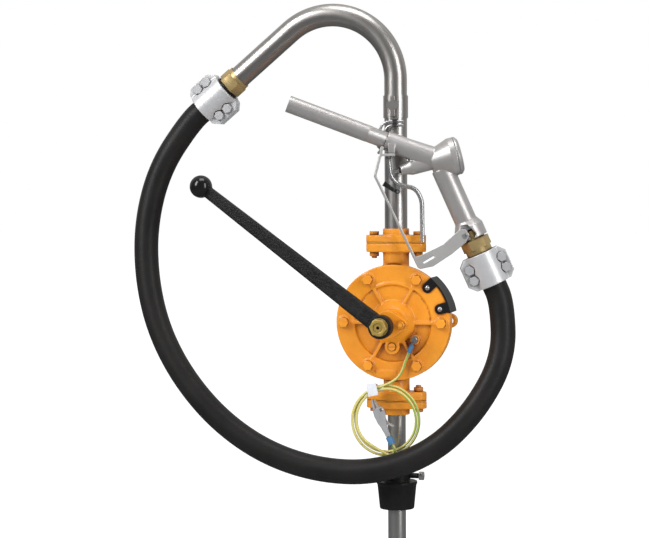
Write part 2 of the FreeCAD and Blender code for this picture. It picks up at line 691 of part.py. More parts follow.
def cover_bolts():
    bolts = []
    for angle in bolt_angles():
        x, z = polar(COVER_BOLT_PCR, angle)
        head = hex_bar(M8_HEX, V(x, COVER_BOSS_Y, z), V(x, COVER_BOSS_Y - M8_HEAD_H, z), angle)
        shank = rod_y(M8_R, COVER_BOSS_Y - 1, CASING_RIM_BACK_Y - 1, x, z)
        bolts.append(joined([head, shank]))
    return Part.makeCompound(bolts)


def cover_plug():
    shank = rod_y(PLUG_R, PLUG_BOSS_Y - 2, COVER_BACK_Y - 0.5, PLUG_X, PLUG_Z)
    length, width, depth = PLUG_SLOT
    slot = box(PLUG_X - length / 2, PLUG_X + length / 2, PLUG_BOSS_Y - 3, PLUG_BOSS_Y - 2 + depth,
               PLUG_Z - width / 2, PLUG_Z + width / 2)
    return shank.cut(slot)


# ---------------------------------------------------------------- shaft seals and gland
def shaft_bushes():
    """Bearing bushes in the casing's back and in the cover."""
    rear = ring_y(BUSH_R, BORE_R, CHAMBER_BACK_Y + WING_END_GAP, SHAFT_BACK_Y)
    front = ring_y(BUSH_R, BORE_R, FRONT_BUSH_END_Y, COVER_BACK_Y - WING_END_GAP)
    return Part.makeCompound([rear, front])


def gland_packing():
    return ring_y(PACKING_R, BORE_R, PACKING_END_Y, FRONT_BUSH_END_Y)


def gland_follower():
    plate = gland_oval(GLAND_FRONT_Y, GLAND_BACK_Y)
    nose = rod_y(PACKING_R - 0.2, GLAND_BACK_Y - 1, GLAND_NOSE_END_Y)
    cuts = [rod_y(BORE_R, GLAND_FRONT_Y - 1, GLAND_NOSE_END_Y + 1)]
    cuts += [rod_y(M6_R + 0.4, GLAND_FRONT_Y - 1, GLAND_BACK_Y + 1, side * GLAND_STUD_X)
             for side in (-1, 1)]
    return without(joined([plate, nose]), cuts)


def gland_fasteners():
    """Two studs and their nuts."""
    pieces = []
    for side in (-1, 1):
        x = side * GLAND_STUD_X
        pieces.append(rod_y(M6_R, GLAND_FRONT_Y - M6_NUT_H - 2, STUFFING_END_Y + GLAND_EAR_R, x))
        nut = hex_bar(M6_HEX, V(x, GLAND_FRONT_Y, 0), V(x, GLAND_FRONT_Y - M6_NUT_H, 0))
        pieces.append(nut.cut(rod_y(M6_R + FIT, GLAND_FRONT_Y - M6_NUT_H - 1, GLAND_FRONT_Y + 1, x)))
    return Part.makeCompound(pieces)


# ---------------------------------------------------------------- wing, bridge and flaps
def hinge_lugs(face, hinge):
    """Pair of lugs that hold a flap's pin, on a face that looks along +Z."""
    lugs = []
    reach = FLAP_BARREL_W / 2 + FIT
    for side in (-1, 1):
        near = side * reach
        far = side * (reach + FLAP_LUG_W)
        y0, y1 = min(near, far), max(near, far)
        y0, y1 = CHAMBER_MID_Y + y0, CHAMBER_MID_Y + y1
        base = box(FLAP_HINGE_R - FLAP_LUG_R, FLAP_HINGE_R + FLAP_LUG_R, y0, y1, face - 1, hinge)
        lug = joined([base, rod_y(FLAP_LUG_R, y0, y1, FLAP_HINGE_R, hinge)])
        lugs.append(lug.cut(rod_y(FLAP_PIN_R + FIT, y0 - 1, y1 + 1, FLAP_HINGE_R, hinge)))
    return lugs


def flap(face, hinge):
    """Clack valve lying on a face that looks along +Z, with its hinge barrel."""
    plate = box(FLAP_HINGE_R + FLAP_ARM[0], FLAP_TIP_R, CHAMBER_MID_Y - FLAP_W / 2, CHAMBER_MID_Y + FLAP_W / 2,
                face + FIT, face + FIT + FLAP_T)
    y0, y1 = CHAMBER_MID_Y - FLAP_BARREL_W / 2, CHAMBER_MID_Y + FLAP_BARREL_W / 2
    arm = box(FLAP_HINGE_R, FLAP_HINGE_R + FLAP_ARM[1], y0, y1, face + FIT + SEAT, face + FIT + FLAP_T)
    barrel = rod_y(FLAP_BARREL_R, y0, y1, FLAP_HINGE_R, hinge)
    return joined([plate, arm, barrel]).cut(rod_y(FLAP_PIN_R + FIT, y0 - 1, y1 + 1, FLAP_HINGE_R, hinge))


def flap_pin(hinge):
    reach = FLAP_BARREL_W / 2 + FIT + FLAP_LUG_W
    return rod_y(FLAP_PIN_R, CHAMBER_MID_Y - reach, CHAMBER_MID_Y + reach, FLAP_HINGE_R, hinge)


def flap_window(face, depth):
    return box(FLAP_PORT[0], FLAP_PORT[1], CHAMBER_MID_Y - FLAP_PORT_W / 2, CHAMBER_MID_Y + FLAP_PORT_W / 2,
               face - depth, face + 1)


def on_blade(shape, side):
    """Place what was drawn on a blade along +X, with its pressure side up."""
    result = shape if side == "right" else shape.mirror(V(0, 0, 0), UP)
    return turn_y(result, WING_ANGLES[side])


def wing_rotor():
    y0 = COVER_BACK_Y + WING_END_GAP
    y1 = CHAMBER_BACK_Y - WING_END_GAP
    parts = [rod_y(WING_HUB_R, y0, y1)]
    windows = []
    for side in ("right", "left"):
        blade = box(WING_HUB_R - 3, CHAMBER_R + 2, y0, y1, -BLADE_FACE, BLADE_FACE)
        blade = blade.common(rod_y(BLADE_TIP_R, y0, y1))
        parts.append(on_blade(blade, side))
        parts += [on_blade(lug, side) for lug in hinge_lugs(BLADE_FACE, BLADE_HINGE)]
        windows.append(on_blade(flap_window(BLADE_FACE, BLADE_T + 1), side))
    return without(joined(parts), windows + [rod_y(SHAFT_R + FIT, y0 - 1, y1 + 1)])


def discharge_flap(side):
    return on_blade(flap(BLADE_FACE, BLADE_HINGE), side)


def discharge_flap_pins():
    return Part.makeCompound([on_blade(flap_pin(BLADE_HINGE), side) for side in ("right", "left")])


def on_bridge(shape, side):
    """Place what was drawn on a face along +X onto one sloping side of the bridge."""
    result = shape if side == "right" else shape.mirror(V(0, 0, 0), UP)
    return turn_y(result, BRIDGE_TURN[side])


def bridge_wedge(shrink, y0, y1):
    """Wedge under the hub whose sides are moved in by shrink."""
    half = math.radians(BRIDGE_HALF_ANGLE)
    apex = -shrink / math.sin(half)
    low = -2 * CHAMBER_R
    spread = (apex - low) * math.tan(half)
    return slab([(0, apex), (spread, low), (-spread, low)], y0, y1)


def valve_bridge():
    y0 = COVER_BACK_Y + BRIDGE_END_GAP
    y1 = CHAMBER_BACK_Y - BRIDGE_END_GAP
    wedge = bridge_wedge(0.0, y0, y1).common(rod_y(CHAMBER_R - BRIDGE_END_GAP, y0, y1))
    hollow = bridge_wedge(BRIDGE_WALL, y0 + BRIDGE_WALL, y1 - BRIDGE_WALL)
    lugs = []
    windows = []
    for side in ("right", "left"):
        lugs += [on_bridge(lug, side) for lug in hinge_lugs(0.0, BRIDGE_HINGE)]
        windows.append(on_bridge(flap_window(0.0, BRIDGE_WALL + 1.5), side))
    body = joined([wedge] + lugs)
    return without(body, [hollow, rod_y(WING_HUB_R + SEAT, y0 - 1, y1 + 1)] + windows)


def suction_flap(side):
    return on_bridge(flap(0.0, BRIDGE_HINGE), side)


def suction_flap_pins():
    return Part.makeCompound([on_bridge(flap_pin(BRIDGE_HINGE), side) for side in ("right", "left")])


# ---------------------------------------------------------------- shaft and lever
def pump_shaft():
    main = rod_y(SHAFT_R, LEVER_FRONT_Y + 1, SHAFT_BACK_Y - 0.5)
    thread = rod_y(SPINDLE_R, NUT_FRONT_Y + 1.5, LEVER_FRONT_Y + 2)
    centre = rod_y(SPINDLE_CENTRE_R, NUT_FRONT_Y, NUT_FRONT_Y + SPINDLE_CENTRE_DEPTH)
    return joined([main, thread]).cut(centre)


def pump_lever():
    boss = rounded(rod_y(LEVER_BOSS_R, LEVER_FRONT_Y, LEVER_BACK_Y), LEVER_BOSS_EDGE)
    y0, y1 = LEVER_Y - LEVER_ARM_T / 2, LEVER_Y + LEVER_ARM_T / 2
    tip = LEVER_LENGTH - BALL_R + 3
    arm = slab([(-LEVER_ROOT_W / 2, 0), (LEVER_ROOT_W / 2, 0), (LEVER_TIP_W / 2, tip),
                (-LEVER_TIP_W / 2, tip)], y0, y1)
    arm = rounded(arm, LEVER_ARM_EDGE, lambda edge: edge.Length > LEVER_LENGTH / 2)
    ball = Part.makeSphere(BALL_R, V(0, LEVER_Y, LEVER_LENGTH))
    body = joined([boss, arm, ball]).cut(rod_y(SHAFT_R + FIT, LEVER_FRONT_Y - 1, LEVER_BACK_Y + 1))
    return turn_y(body, LEVER_ANGLE)


def lever_nut():
    """Nut with its washer."""
    washer = ring_y(LEVER_WASHER_R, SPINDLE_R + SEAT, NUT_BACK_Y, LEVER_FRONT_Y)
    nut = hex_bar(LEVER_NUT_HEX, V(0, NUT_BACK_Y, 0), V(0, NUT_FRONT_Y, 0), LEVER_ANGLE)
    return Part.makeCompound([washer, nut.cut(rod_y(SPINDLE_R + FIT, NUT_FRONT_Y - 1, NUT_BACK_Y + 1))])


# ---------------------------------------------------------------- port flanges, bolts and pipes
def mating_flange(pipe_r):
    """Flange above the casing that takes a screwed pipe."""
    body = joined([oval_flange(MATING_FACE_Z, MATING_BACK_Z), rod_z(NECK_R, MATING_FACE_Z, BOSS_TOP_Z)])
    cuts = [rod_z(PORT_R - 3, MATING_FACE_Z - 1, BOSS_TOP_Z),
            rod_z(pipe_r + FIT, BOSS_TOP_Z - PIPE_SOCKET_DEPTH, BOSS_TOP_Z + 1)]
    return without(body, cuts + flange_holes(MATING_FACE_Z, MATING_BACK_Z))


def flange_gasket():
    plate = oval_flange(FLANGE_FACE_Z, MATING_FACE_Z)
    return without(plate, [rod_z(PORT_R, FLANGE_FACE_Z - 1, MATING_FACE_Z + 1)]
                   + flange_holes(FLANGE_FACE_Z, MATING_FACE_Z))


def below(shape):
    """The same piece on the casing's lower port."""
    return shape.mirror(V(0, 0, 0), UP)


def flange_bolts():
    bolts = []
    for side in (-1, 1):
        x = side * FLANGE_BOLT_X
        head = hex_bar(M8_HEX, V(x, 0, MATING_BACK_Z), V(x, 0, MATING_BACK_Z + M8_HEAD_H), 30)
        shank = rod_z(M8_R, FLANGE_FACE_Z - FLANGE_T - M8_NUT_H - 3, MATING_BACK_Z + 1, x)
        bolts.append(joined([head, shank]))
    return Part.makeCompound(bolts)


def flange_nuts():
    nuts = []
    seat = FLANGE_FACE_Z - FLANGE_T
    for side in (-1, 1):
        x = side * FLANGE_BOLT_X
        nut = hex_bar(M8_HEX, V(x, 0, seat - M8_NUT_H), V(x, 0, seat), 30)
        nuts.append(nut.cut(rod_z(M8_R + FIT, seat - 10, seat + 1, x)))
    return Part.makeCompound(nuts)


def outlet_wire():
    """Middle line of the gooseneck: riser, bend, short straight tail."""
    start = V(0, 0, BOSS_TOP_Z - PIPE_SOCKET_DEPTH)
    bend_start = V(0, 0, OUTLET_RISE_Z)
    half = math.radians(OUTLET_BEND_ANGLE / 2)
    full = math.radians(OUTLET_BEND_ANGLE)
    centre = V(-OUTLET_BEND_R, 0, OUTLET_RISE_Z)
    mid = centre + V(math.cos(half), 0, math.sin(half)) * OUTLET_BEND_R
    bend_end = centre + V(math.cos(full), 0, math.sin(full)) * OUTLET_BEND_R
    onward = V(-math.sin(full), 0, math.cos(full))
    end = bend_end + onward * OUTLET_TAIL
    edges = [Part.LineSegment(start, bend_start).toShape(), Part.Arc(bend_start, mid, bend_end).toShape(),
             Part.LineSegment(bend_end, end).toShape()]
    return Part.Wire(edges), end, onward


def discharge_pipe():
    wire = outlet_wire()[0]
    return sweep(wire, OUTLET_PIPE_R).cut(sweep(wire, OUTLET_PIPE_R - OUTLET_PIPE_WALL))


def suction_tube():
    top = PIPE_SOCKET_DEPTH - BOSS_TOP_Z
    foot_z = -PUMP_Z - SUCTION_BELOW_BUNG
    tube = ring_z(SUCTION_R, SUCTION_R - SUCTION_WALL, foot_z, top)
    notch = rod(SUCTION_NOTCH_R, V(-SUCTION_R - 1, 0, foot_z), V(SUCTION_R + 1, 0, foot_z))
    return tube.cut(notch)


# ---------------------------------------------------------------- bung adapter
def bung_adapter():
    bore = SUCTION_R + BUNG_BORE_GAP
    body = turned([(0, COLLAR_H), (COLLAR_R - 1, COLLAR_H), (COLLAR_R, COLLAR_H - 1), (COLLAR_R, 0),
                   (BUNG_RIM_R, 0), (BUNG_RIM_R, -BUNG_RIM_T), (BUNG_TOP_R, -BUNG_RIM_T),
                   (BUNG_FOOT_R, -BUNG_DEPTH), (0, -BUNG_DEPTH)], axis=UP)
    cuts = [rod_z(bore, -BUNG_DEPTH - 1, COLLAR_H + 1),
            rod_z(SEAL_R + FIT, SEAL_Z - SEAL_H / 2, SEAL_Z + SEAL_H / 2),
            rod(CLAMP_SCREW_R + FIT, V(SUCTION_R - CLAMP_SCREW_R, 0, CLAMP_SCREW_Z),
                V(COLLAR_R + 2, 0, CLAMP_SCREW_Z))]
    return without(body, cuts)


def bung_seal():
    return ring_z(SEAL_R, SUCTION_R + FIT, SEAL_Z - SEAL_H / 2 + FIT, SEAL_Z + SEAL_H / 2 - FIT)


def bung_clamp_screw():
    tip = V(SUCTION_R + FIT, 0, CLAMP_SCREW_Z)
    knob = V(CLAMP_KNOB_X, 0, CLAMP_SCREW_Z)
    end = V(CLAMP_KNOB_X + CLAMP_KNOB_T, 0, CLAMP_SCREW_Z)
    shank = rod(CLAMP_SCREW_R, tip, knob + V(1, 0, 0))
    return joined([shank, rod(CLAMP_KNOB_R, knob, end)])


# ---------------------------------------------------------------- rim guard
def sector(inner, outer, from_deg, to_deg, y0, y1):
    """Part of a ring about the shaft between two angles."""
    far = 2 * outer
    middle = (from_deg + to_deg) / 2
    wedge = slab([(0, 0), polar(far, from_deg), polar(far, middle), polar(far, to_deg)], y0 - 1, y1 + 1)
    return ring_y(outer, inner, y0, y1).common(wedge)


def rim_guard():
    inner = RIM_R + SEAT
    band = sector(inner, inner + GUARD_T, GUARD_ANGLES[0], GUARD_ANGLES[1], GUARD_FRONT_Y, GUARD_BACK_Y)
    parts = [band]
    holes = []
    half = GUARD_TAB_W / 2
    for angle in GUARD_TABS:
        tab = box(GUARD_SCREW_PCR, inner + GUARD_T / 2, GUARD_FRONT_Y, RIM_FRONT_Y, -half, half)
        tab = joined([tab, rod_y(half, GUARD_FRONT_Y, RIM_FRONT_Y, GUARD_SCREW_PCR)])
        parts.append(turn_y(tab, angle))
        holes.append(rod_y(M5_R + SEAT, GUARD_FRONT_Y - 1, RIM_FRONT_Y + 1, *polar(GUARD_SCREW_PCR, angle)))
    return without(joined(parts), holes)


def rim_guard_screws():
    screws = []
    for angle in GUARD_TABS:
        x, z = polar(GUARD_SCREW_PCR, angle)
        head = Part.makeSphere(GUARD_DOME_R, V(x, GUARD_FRONT_Y + GUARD_DOME_IN, z))
        head = head.common(rod_y(GUARD_SCREW_HEAD_R, GUARD_FRONT_Y - GUARD_DOME_R, GUARD_FRONT_Y, x, z))
        screws.append(joined([head, rod_y(M5_R, GUARD_FRONT_Y - 1, COVER_BACK_Y - 2, x, z)]))
    return Part.makeCompound(screws)


# ---------------------------------------------------------------- hose clamps and tails
def along(axis_start, axis_way, shape):
    """Place a shape drawn along +Z so that it runs from a point along a direction in the XZ plane."""
    tilt = math.degrees(math.atan2(axis_way.x, axis_way.z))
    result = shape.copy()
    result.Placement = FreeCAD.Placement(axis_start, FreeCAD.Rotation(DEPTH, tilt)).multiply(result.Placement)
    return result


def clamp_half(front):
    """Half of a two-part hose clamp, along +Z from 0, with its bolts along Y."""
    side = -1 if front else 1
    seat = HOSE_R + SEAT
    shell_r = seat + CLAMP_SHELL
    split = side * CLAMP_SPLIT / 2
    y0, y1 = sorted((split, split + side * CLAMP_EAR_T))
    half_w = CLAMP_W / 2
    cut = CLAMP_CHAMFER
    outline = [(-half_w, cut), (cut - half_w, 0), (half_w - cut, 0), (half_w, cut),
               (half_w, CLAMP_LEN - cut), (half_w - cut, CLAMP_LEN), (cut - half_w, CLAMP_LEN),
               (-half_w, CLAMP_LEN - cut)]
    ears = slab(outline, y0, y1)
    far = side * (shell_r + 1)
    keep_y0, keep_y1 = sorted((split, far))
    shell = rod_z(shell_r, 0, CLAMP_LEN).common(box(-half_w, half_w, keep_y0, keep_y1, -1, CLAMP_LEN + 1))
    body = joined([ears, shell]).cut(rod_z(seat, -1, CLAMP_LEN + 1))
    holes = [rod_y(M8_R + SEAT, -shell_r, shell_r, x, z) for x, z in clamp_bolt_places()]
    face = side * (CLAMP_SPLIT / 2 + CLAMP_EAR_T)
    spots = [rod_y(CLAMP_SPOT_R, face, far, x, z) for x, z in clamp_bolt_places()]
    return without(body, holes + spots)


def clamp_bolt_places():
    mid = CLAMP_LEN / 2
    return [(sx * CLAMP_BOLT_X, mid + sz * CLAMP_BOLT_PITCH / 2) for sx in (-1, 1) for sz in (-1, 1)]


def clamp_bolts():
    """Four bolts, with heads towards the viewer and nuts behind."""
    face = CLAMP_SPLIT / 2 + CLAMP_EAR_T
    bolts = []
    for x, z in clamp_bolt_places():
        head = hex_bar(M8_HEX, V(x, -face, z), V(x, -face - M8_HEAD_H, z))
        nut = hex_bar(M8_HEX, V(x, face, z), V(x, face + M8_NUT_H, z))
        bolts.append(joined([head, nut, rod_y(M8_R, -face - 1, face + M8_NUT_H + 2, x, z)]))
    return Part.makeCompound(bolts)


def upper_hose_tail():
    """Brass tail, along +Z from the pipe's end at 0."""
    collar = rod_z(COLLAR_RING_R, *UPPER_COLLAR)
    hexagon = hex_bar(UPPER_HEX, V(0, 0, UPPER_COLLAR[1] + 0.01), V(0, 0, UPPER_COLLAR[1] + UPPER_HEX_LEN))
    start = UPPER_COLLAR[1] + UPPER_HEX_LEN
    end = start + CLAMP_TO_HEX + CLAMP_LEN - BARB_SHORT
    barb = rod_z(HOSE_BORE_R - SEAT, start - 1, end)
    spigot = rod_z(OUTLET_PIPE_R - OUTLET_PIPE_WALL - FIT, -SPIGOT_LEN, 1)
    body = joined([collar, rod_z(UPPER_HEX / 2 - 2, 1, start - 1), hexagon, barb, spigot])
    return body.cut(rod_z(TAIL_BORE_R, -SPIGOT_LEN - 1, end + 1))


def upper_axis():
    wire, end, onward = outlet_wire()
    return end, onward


# ---------------------------------------------------------------- nozzle, in its own plane
def flat(point):
    return V(point[0], 0, point[1])


SPOUT_WAY = (flat(SPOUT_ROOT) - flat(SPOUT_TIP)).normalize()
VALVE_WAY = V(math.cos(math.radians(VALVE_TILT)), 0, math.sin(math.radians(VALVE_TILT)))
GRIP_WAY = V(math.cos(math.radians(GRIP_TILT)), 0, -math.sin(math.radians(GRIP_TILT)))
CAP_FACE = flat(VALVE_CENTRE)
TRIGGER_BAR = (flat(TRIGGER_PIVOT) - flat(TRIGGER_ROUTE[0])).normalize()
BAR_ACROSS = V(TRIGGER_BAR.z, 0, -TRIGGER_BAR.x)


def stem_reach():
    """Distance from the cap's seam back to the stem's tip, just clear of the trigger's bar."""
    to_bar = (CAP_FACE - flat(TRIGGER_PIVOT)).dot(BAR_ACROSS) - TRIGGER_R - STEM_GAP
    return (to_bar - STEM_R * abs(VALVE_WAY.dot(TRIGGER_BAR))) / VALVE_WAY.dot(BAR_ACROSS)


STEM_REACH = stem_reach()


def on_valve(distance):
    """Point on the valve's axis, measured back from the cap's seam."""
    return CAP_FACE - VALVE_WAY * distance


def on_grip(distance):
    return flat(GRIP_TOP) + GRIP_WAY * distance


def nozzle_body():
    root = flat(SPOUT_ROOT)
    socket_end = root + SPOUT_WAY * SOCKET_LEN
    socket = rod(SOCKET_R, root, socket_end)
    barrel = Part.makeCone(SOCKET_R, BARREL_END_R, BARREL_LEN, socket_end - SPOUT_WAY, SPOUT_WAY)
    head = Part.makeCone(HEAD_R, CAP_R, HEAD_START - DRUM_LEN, on_valve(HEAD_START), VALVE_WAY)
    drum = rod(CAP_R, on_valve(DRUM_LEN + SEAT), on_valve(0))
    guide = rod(GUIDE_R, on_valve(GUIDE_TIP - GUIDE_TAPER), on_valve(HEAD_START - DRUM_LEN))
    guide_tip = Part.makeCone(GUIDE_TIP_R, GUIDE_R, GUIDE_TAPER, on_valve(GUIDE_TIP), VALVE_WAY)
    grip = rod(GRIP_R, on_grip(-GRIP_R), on_grip(INLET_START))
    flare = Part.makeCone(GRIP_R, INLET_R, INLET_FLARE, on_grip(INLET_START - 1), GRIP_WAY)
    inlet = rod(INLET_R, on_grip(INLET_START + INLET_FLARE - 2), on_grip(INLET_END))
    lug = rod_y(SCREW_LUG_R, STRIP_FRONT + STRIP_T, 0, *SCREW_PLACE)
    ears = []
    for side in (-1, 1):
        y0, y1 = sorted((side * (TRIGGER_EYE_HALF + FIT), side * TRIGGER_EAR_HALF))
        ears.append(rod_y(TRIGGER_EYE_R, y0, y1, *TRIGGER_PIVOT))
        ears.append(box(TRIGGER_PIVOT[0] - TRIGGER_EYE_R + 1, TRIGGER_PIVOT[0] + TRIGGER_EYE_R + 1, y0, y1,
                        TRIGGER_PIVOT[1], TRIGGER_PIVOT[1] + TRIGGER_EAR_H))
    top_lug = box(*TAB_LUG_X, STRIP_FRONT + STRIP_T, TAB_BACK, TAB_TOP, TAB_TOP + TAB_LUG_H)
    body = joined([socket, barrel, head, drum, guide, guide_tip, grip, flare, inlet, lug, top_lug] + ears)
    cuts = [rod(SPOUT_SHANK_R + FIT, root - SPOUT_WAY, root + SPOUT_WAY * (SPOUT_DEPTH + 1)),
            rod(SPOUT_BORE_R, root, socket_end + SPOUT_WAY * HEAD_START),
            rod(CAP_R - CAP_THREAD_WALL, on_valve(CAP_RECESS), on_valve(-1)),
            rod(VALVE_ROOM_R, on_valve(HEAD_START - 4), on_valve(CAP_RECESS - 1)),
            rod(STEM_R + 3 * FIT, on_valve(GUIDE_TIP + 1), on_valve(GRIP_R)),
            rod(GRIP_BORE_R, on_grip(-2), on_grip(INLET_END + 1)),
            rod(INLET_BORE_R, on_grip(INLET_END - SPIGOT_LEN - 2), on_grip(INLET_END + 1)),
            rod_y(TRIGGER_PIN_R + FIT, -TRIGGER_EAR_HALF - 1, TRIGGER_EAR_HALF + 1, *TRIGGER_PIVOT),
            rod_y(M3_R + FIT, STRIP_FRONT, STRIP_FRONT + 2 * STRIP_T, *SCREW_PLACE),
            slab(GUARD_ROOM, 2 * STRIP_FRONT, STRIP_FRONT + STRIP_T)]
    return without(body, cuts)


def nozzle_spout():
    start = flat(SPOUT_TIP)
    end = flat(SPOUT_ROOT) + SPOUT_WAY * SPOUT_DEPTH
    free = rod(SPOUT_R, start, start + SPOUT_WAY * SPOUT_FREE)
    shank = rod(SPOUT_SHANK_R, start + SPOUT_WAY, end)
    return joined([free, shank]).cut(rod(SPOUT_BORE_R, start - SPOUT_WAY, end + SPOUT_WAY))


def valve_cap():
    rim = rod(CAP_R, on_valve(0), on_valve(-3))
    dome = Part.makeCone(CAP_R, CAP_R - CAP_THREAD_WALL, CAP_T - 3, on_valve(-3), VALVE_WAY)
    thread_end = CAP_RECESS - 3
    thread = rod(CAP_R - CAP_THREAD_WALL - FIT, on_valve(thread_end), on_valve(-1))
    bore = rod(CAP_R - CAP_BORE_WALL, on_valve(thread_end + 1), on_valve(-CAP_FLOOR))
    return joined([rim, dome, thread]).cut(bore)


def valve_spring():
    """Spring behind the valve disc, kept to its outer shape."""
    start = VALVE_DISC_BACK - SEAT
    outer, inner = SPRING_R
    return rod(outer, on_valve(start), on_valve(SEAT - CAP_FLOOR)).cut(
        rod(inner, on_valve(start + 1), on_valve(-CAP_FLOOR)))


def valve_stem():
    """Stem from the trigger to the valve disc, with its seal ring."""
    stem = rod(STEM_R, on_valve(STEM_REACH), on_valve(VALVE_DISC_BACK + 1))
    disc = rod(VALVE_DISC_R, on_valve(VALVE_DISC_BACK + 3), on_valve(VALVE_DISC_BACK))
    return joined([stem, disc])


def stem_seal():
    """Black wiper at the tip of the valve's guide."""
    ring = rod(STEM_SEAL_R, on_valve(GUIDE_TIP + STEM_SEAL_LEN), on_valve(GUIDE_TIP + FIT))
    return ring.cut(rod(STEM_R + FIT, on_valve(GUIDE_TIP + STEM_SEAL_LEN + 1), on_valve(0)))


def trigger():
    wire = route_wire([flat(point) for point in [TRIGGER_PIVOT] + TRIGGER_ROUTE])[0]
    bar = sweep(wire, TRIGGER_R)
    eye = rod_y(TRIGGER_EYE_R, -TRIGGER_EYE_HALF, TRIGGER_EYE_HALF, *TRIGGER_PIVOT)
    web = joined([slab(LATCH_WEB, -LATCH_WEB_HALF, LATCH_WEB_HALF),
                  rod_y(TRIGGER_R, -LATCH_WEB_HALF, LATCH_WEB_HALF, *LATCH_PIN)])
    body = joined([bar, eye, web])
    return without(body, [rod_y(TRIGGER_PIN_R + FIT, -TRIGGER_EAR_HALF, TRIGGER_EAR_HALF, *TRIGGER_PIVOT),
                          rod_y(M3_R + FIT, -TRIGGER_R, TRIGGER_R, *LATCH_PIN)])


def trigger_pin():
    half = TRIGGER_EAR_HALF + 0.8
    return rod_y(TRIGGER_PIN_R, -half, half, *TRIGGER_PIVOT)


def trigger_latch():
    """Knurled hold-open catch on the trigger, forked about its web."""
    cheeks = []
    inner, outer = LATCH_CHEEKS_Y
    for side in (-1, 1):
        y0, y1 = sorted((side * inner, side * outer))
        cheeks.append(joined([rod_y(LATCH_EYE_R, y0, y1, *LATCH_PIN), slab(LATCH_CHEEK, y0, y1)]))
    pad = slab(LATCH_PAD, -LATCH_PAD_HALF, LATCH_PAD_HALF).cut(slab(LATCH_FORK, -inner, inner))
    return joined([pad] + cheeks).cut(rod_y(M3_R + FIT, -LATCH_PAD_HALF, LATCH_PAD_HALF, *LATCH_PIN))


def latch_pin():
    half = LATCH_CHEEKS_Y[1] + 0.8
    return rod_y(M3_R, -half, half, *LATCH_PIN)


def strip_outline():
    """Edge view of the guard strip: down the front and along to the lower corner."""
    half = STRIP_T / 2
    left = [flat(point) for point in STRIP_POINTS]
    first = (left[1] - left[0]).normalize()
    second = (left[2] - left[1]).normalize()
    side_a = V(first.z, 0, -first.x) * half
    side_b = V(second.z, 0, -second.x) * half
    middle = (side_a + side_b) * 0.5
    outer = [left[0] + side_a, left[1] + middle * 1.05, left[2] + side_b]
    inner = [left[0] - side_a, left[1] - middle * 1.05, left[2] - side_b]
    return [(p.x, p.z) for p in outer + inner[::-1]]


def trigger_guard():
    """Bent strip, seen on edge, with a flat plate that runs up to the inlet boss."""
    back = STRIP_FRONT + STRIP_W
    strip = slab(strip_outline(), STRIP_FRONT, back)
    plate_back = STRIP_FRONT + STRIP_T
    plate = slab(GUARD_PLATE, STRIP_FRONT, plate_back)
    slot = slab(GUARD_SLOT, STRIP_FRONT - 1, plate_back + 1)
    horn = slab(GUARD_HORN, STRIP_FRONT, STRIP_FRONT + GUARD_HORN_T)
    tab = box(*TAB_X, STRIP_FRONT, TAB_BACK, TAB_TOP - STRIP_T, TAB_TOP)
    body = joined([strip, plate, horn, tab])
    return without(body, [slot, rod_y(M3_R + SEAT, STRIP_FRONT - 1, plate_back + 1, *SCREW_PLACE)])


def guard_screw():
    x, z = SCREW_PLACE
    head = rod_y(GUARD_SCREW_HEAD_R, STRIP_FRONT - 2, STRIP_FRONT, x, z)
    body = joined([head, rod_y(M3_R, STRIP_FRONT - 1, STRIP_FRONT + 2 * STRIP_T - 1, x, z)])
    return body.cut(rod_y(M3_R - SEAT, STRIP_FRONT - 3, STRIP_FRONT - 1, x, z))


def nozzle_hose_tail():
    """Brass tail along +Z from the inlet boss's face at 0."""
    hex_end = NOZZLE_NECK_LEN + NOZZLE_HEX_LEN
    hexagon = hex_bar(NOZZLE_HEX, V(0, 0, NOZZLE_NECK_LEN), V(0, 0, hex_end))
    neck = rod_z(NOZZLE_HEX / 2 - 2.5, FIT, NOZZLE_NECK_LEN + 1)
    start = hex_end + NOZZLE_COLLAR_LEN
    collar = rod_z(NOZZLE_COLLAR_R, hex_end - 1, start)
    end = start + CLAMP_LEN - BARB_SHORT
    barb = rod_z(HOSE_BORE_R - SEAT, start - 1, end)
    spigot = rod_z(INLET_BORE_R - FIT, -SPIGOT_LEN, 1)
    return joined([neck, hexagon, collar, barb, spigot]).cut(rod_z(TAIL_BORE_R, -SPIGOT_LEN - 1, end + 1))


def along_grip(shape, distance):
    return in_nozzle(along(on_grip(distance), GRIP_WAY, shape))


# ---------------------------------------------------------------- nozzle holder on the outlet pipe
def holder_clamp():
    """Sheet clip around the pipe with a block in front that grips the hook."""
    inner = OUTLET_PIPE_R + FIT
    low, high = HOLDER_Z
    front, lug_back = -inner - HOLDER_LUG_OUT, -inner - HOLDER_BAND_T / 2
    band = ring_z(inner + HOLDER_BAND_T, inner, low, high)
    lug = box(-HOLDER_LUG_HALF, HOLDER_LUG_HALF, front, lug_back, low + 2, high - 2)
    ear_low = low + (high - low) * 0.4
    ear = box(-3 * HOLDER_LUG_HALF, 3 * HOLDER_LUG_HALF, front, front + TONGUE_T, ear_low, ear_low + HOLDER_EAR_H)
    tongue = box(*TONGUE_X, -inner - BLOCK_DEPTH[0], -inner - BLOCK_DEPTH[0] + TONGUE_T, TONGUE_Z, low + 3)
    return without(joined([band, lug, ear, tongue]), [rod_z(inner, TONGUE_Z - 1, high + 1)])


def holder_block():
    """Dark clamp block that holds the two wires of the hook."""
    skin = -OUTLET_PIPE_R - FIT
    block = box(*BLOCK_X, skin - BLOCK_DEPTH[1], skin - BLOCK_DEPTH[0] - FIT, *BLOCK_Z)
    holes = [rod(HOLDER_WIRE_R + FIT, V(BLOCK_X[0] - 1, HOOK_Y, z), V(BLOCK_X[1] + 1, HOOK_Y, z))
             for z, reach in HOOK_WIRES]
    return without(block, holes)


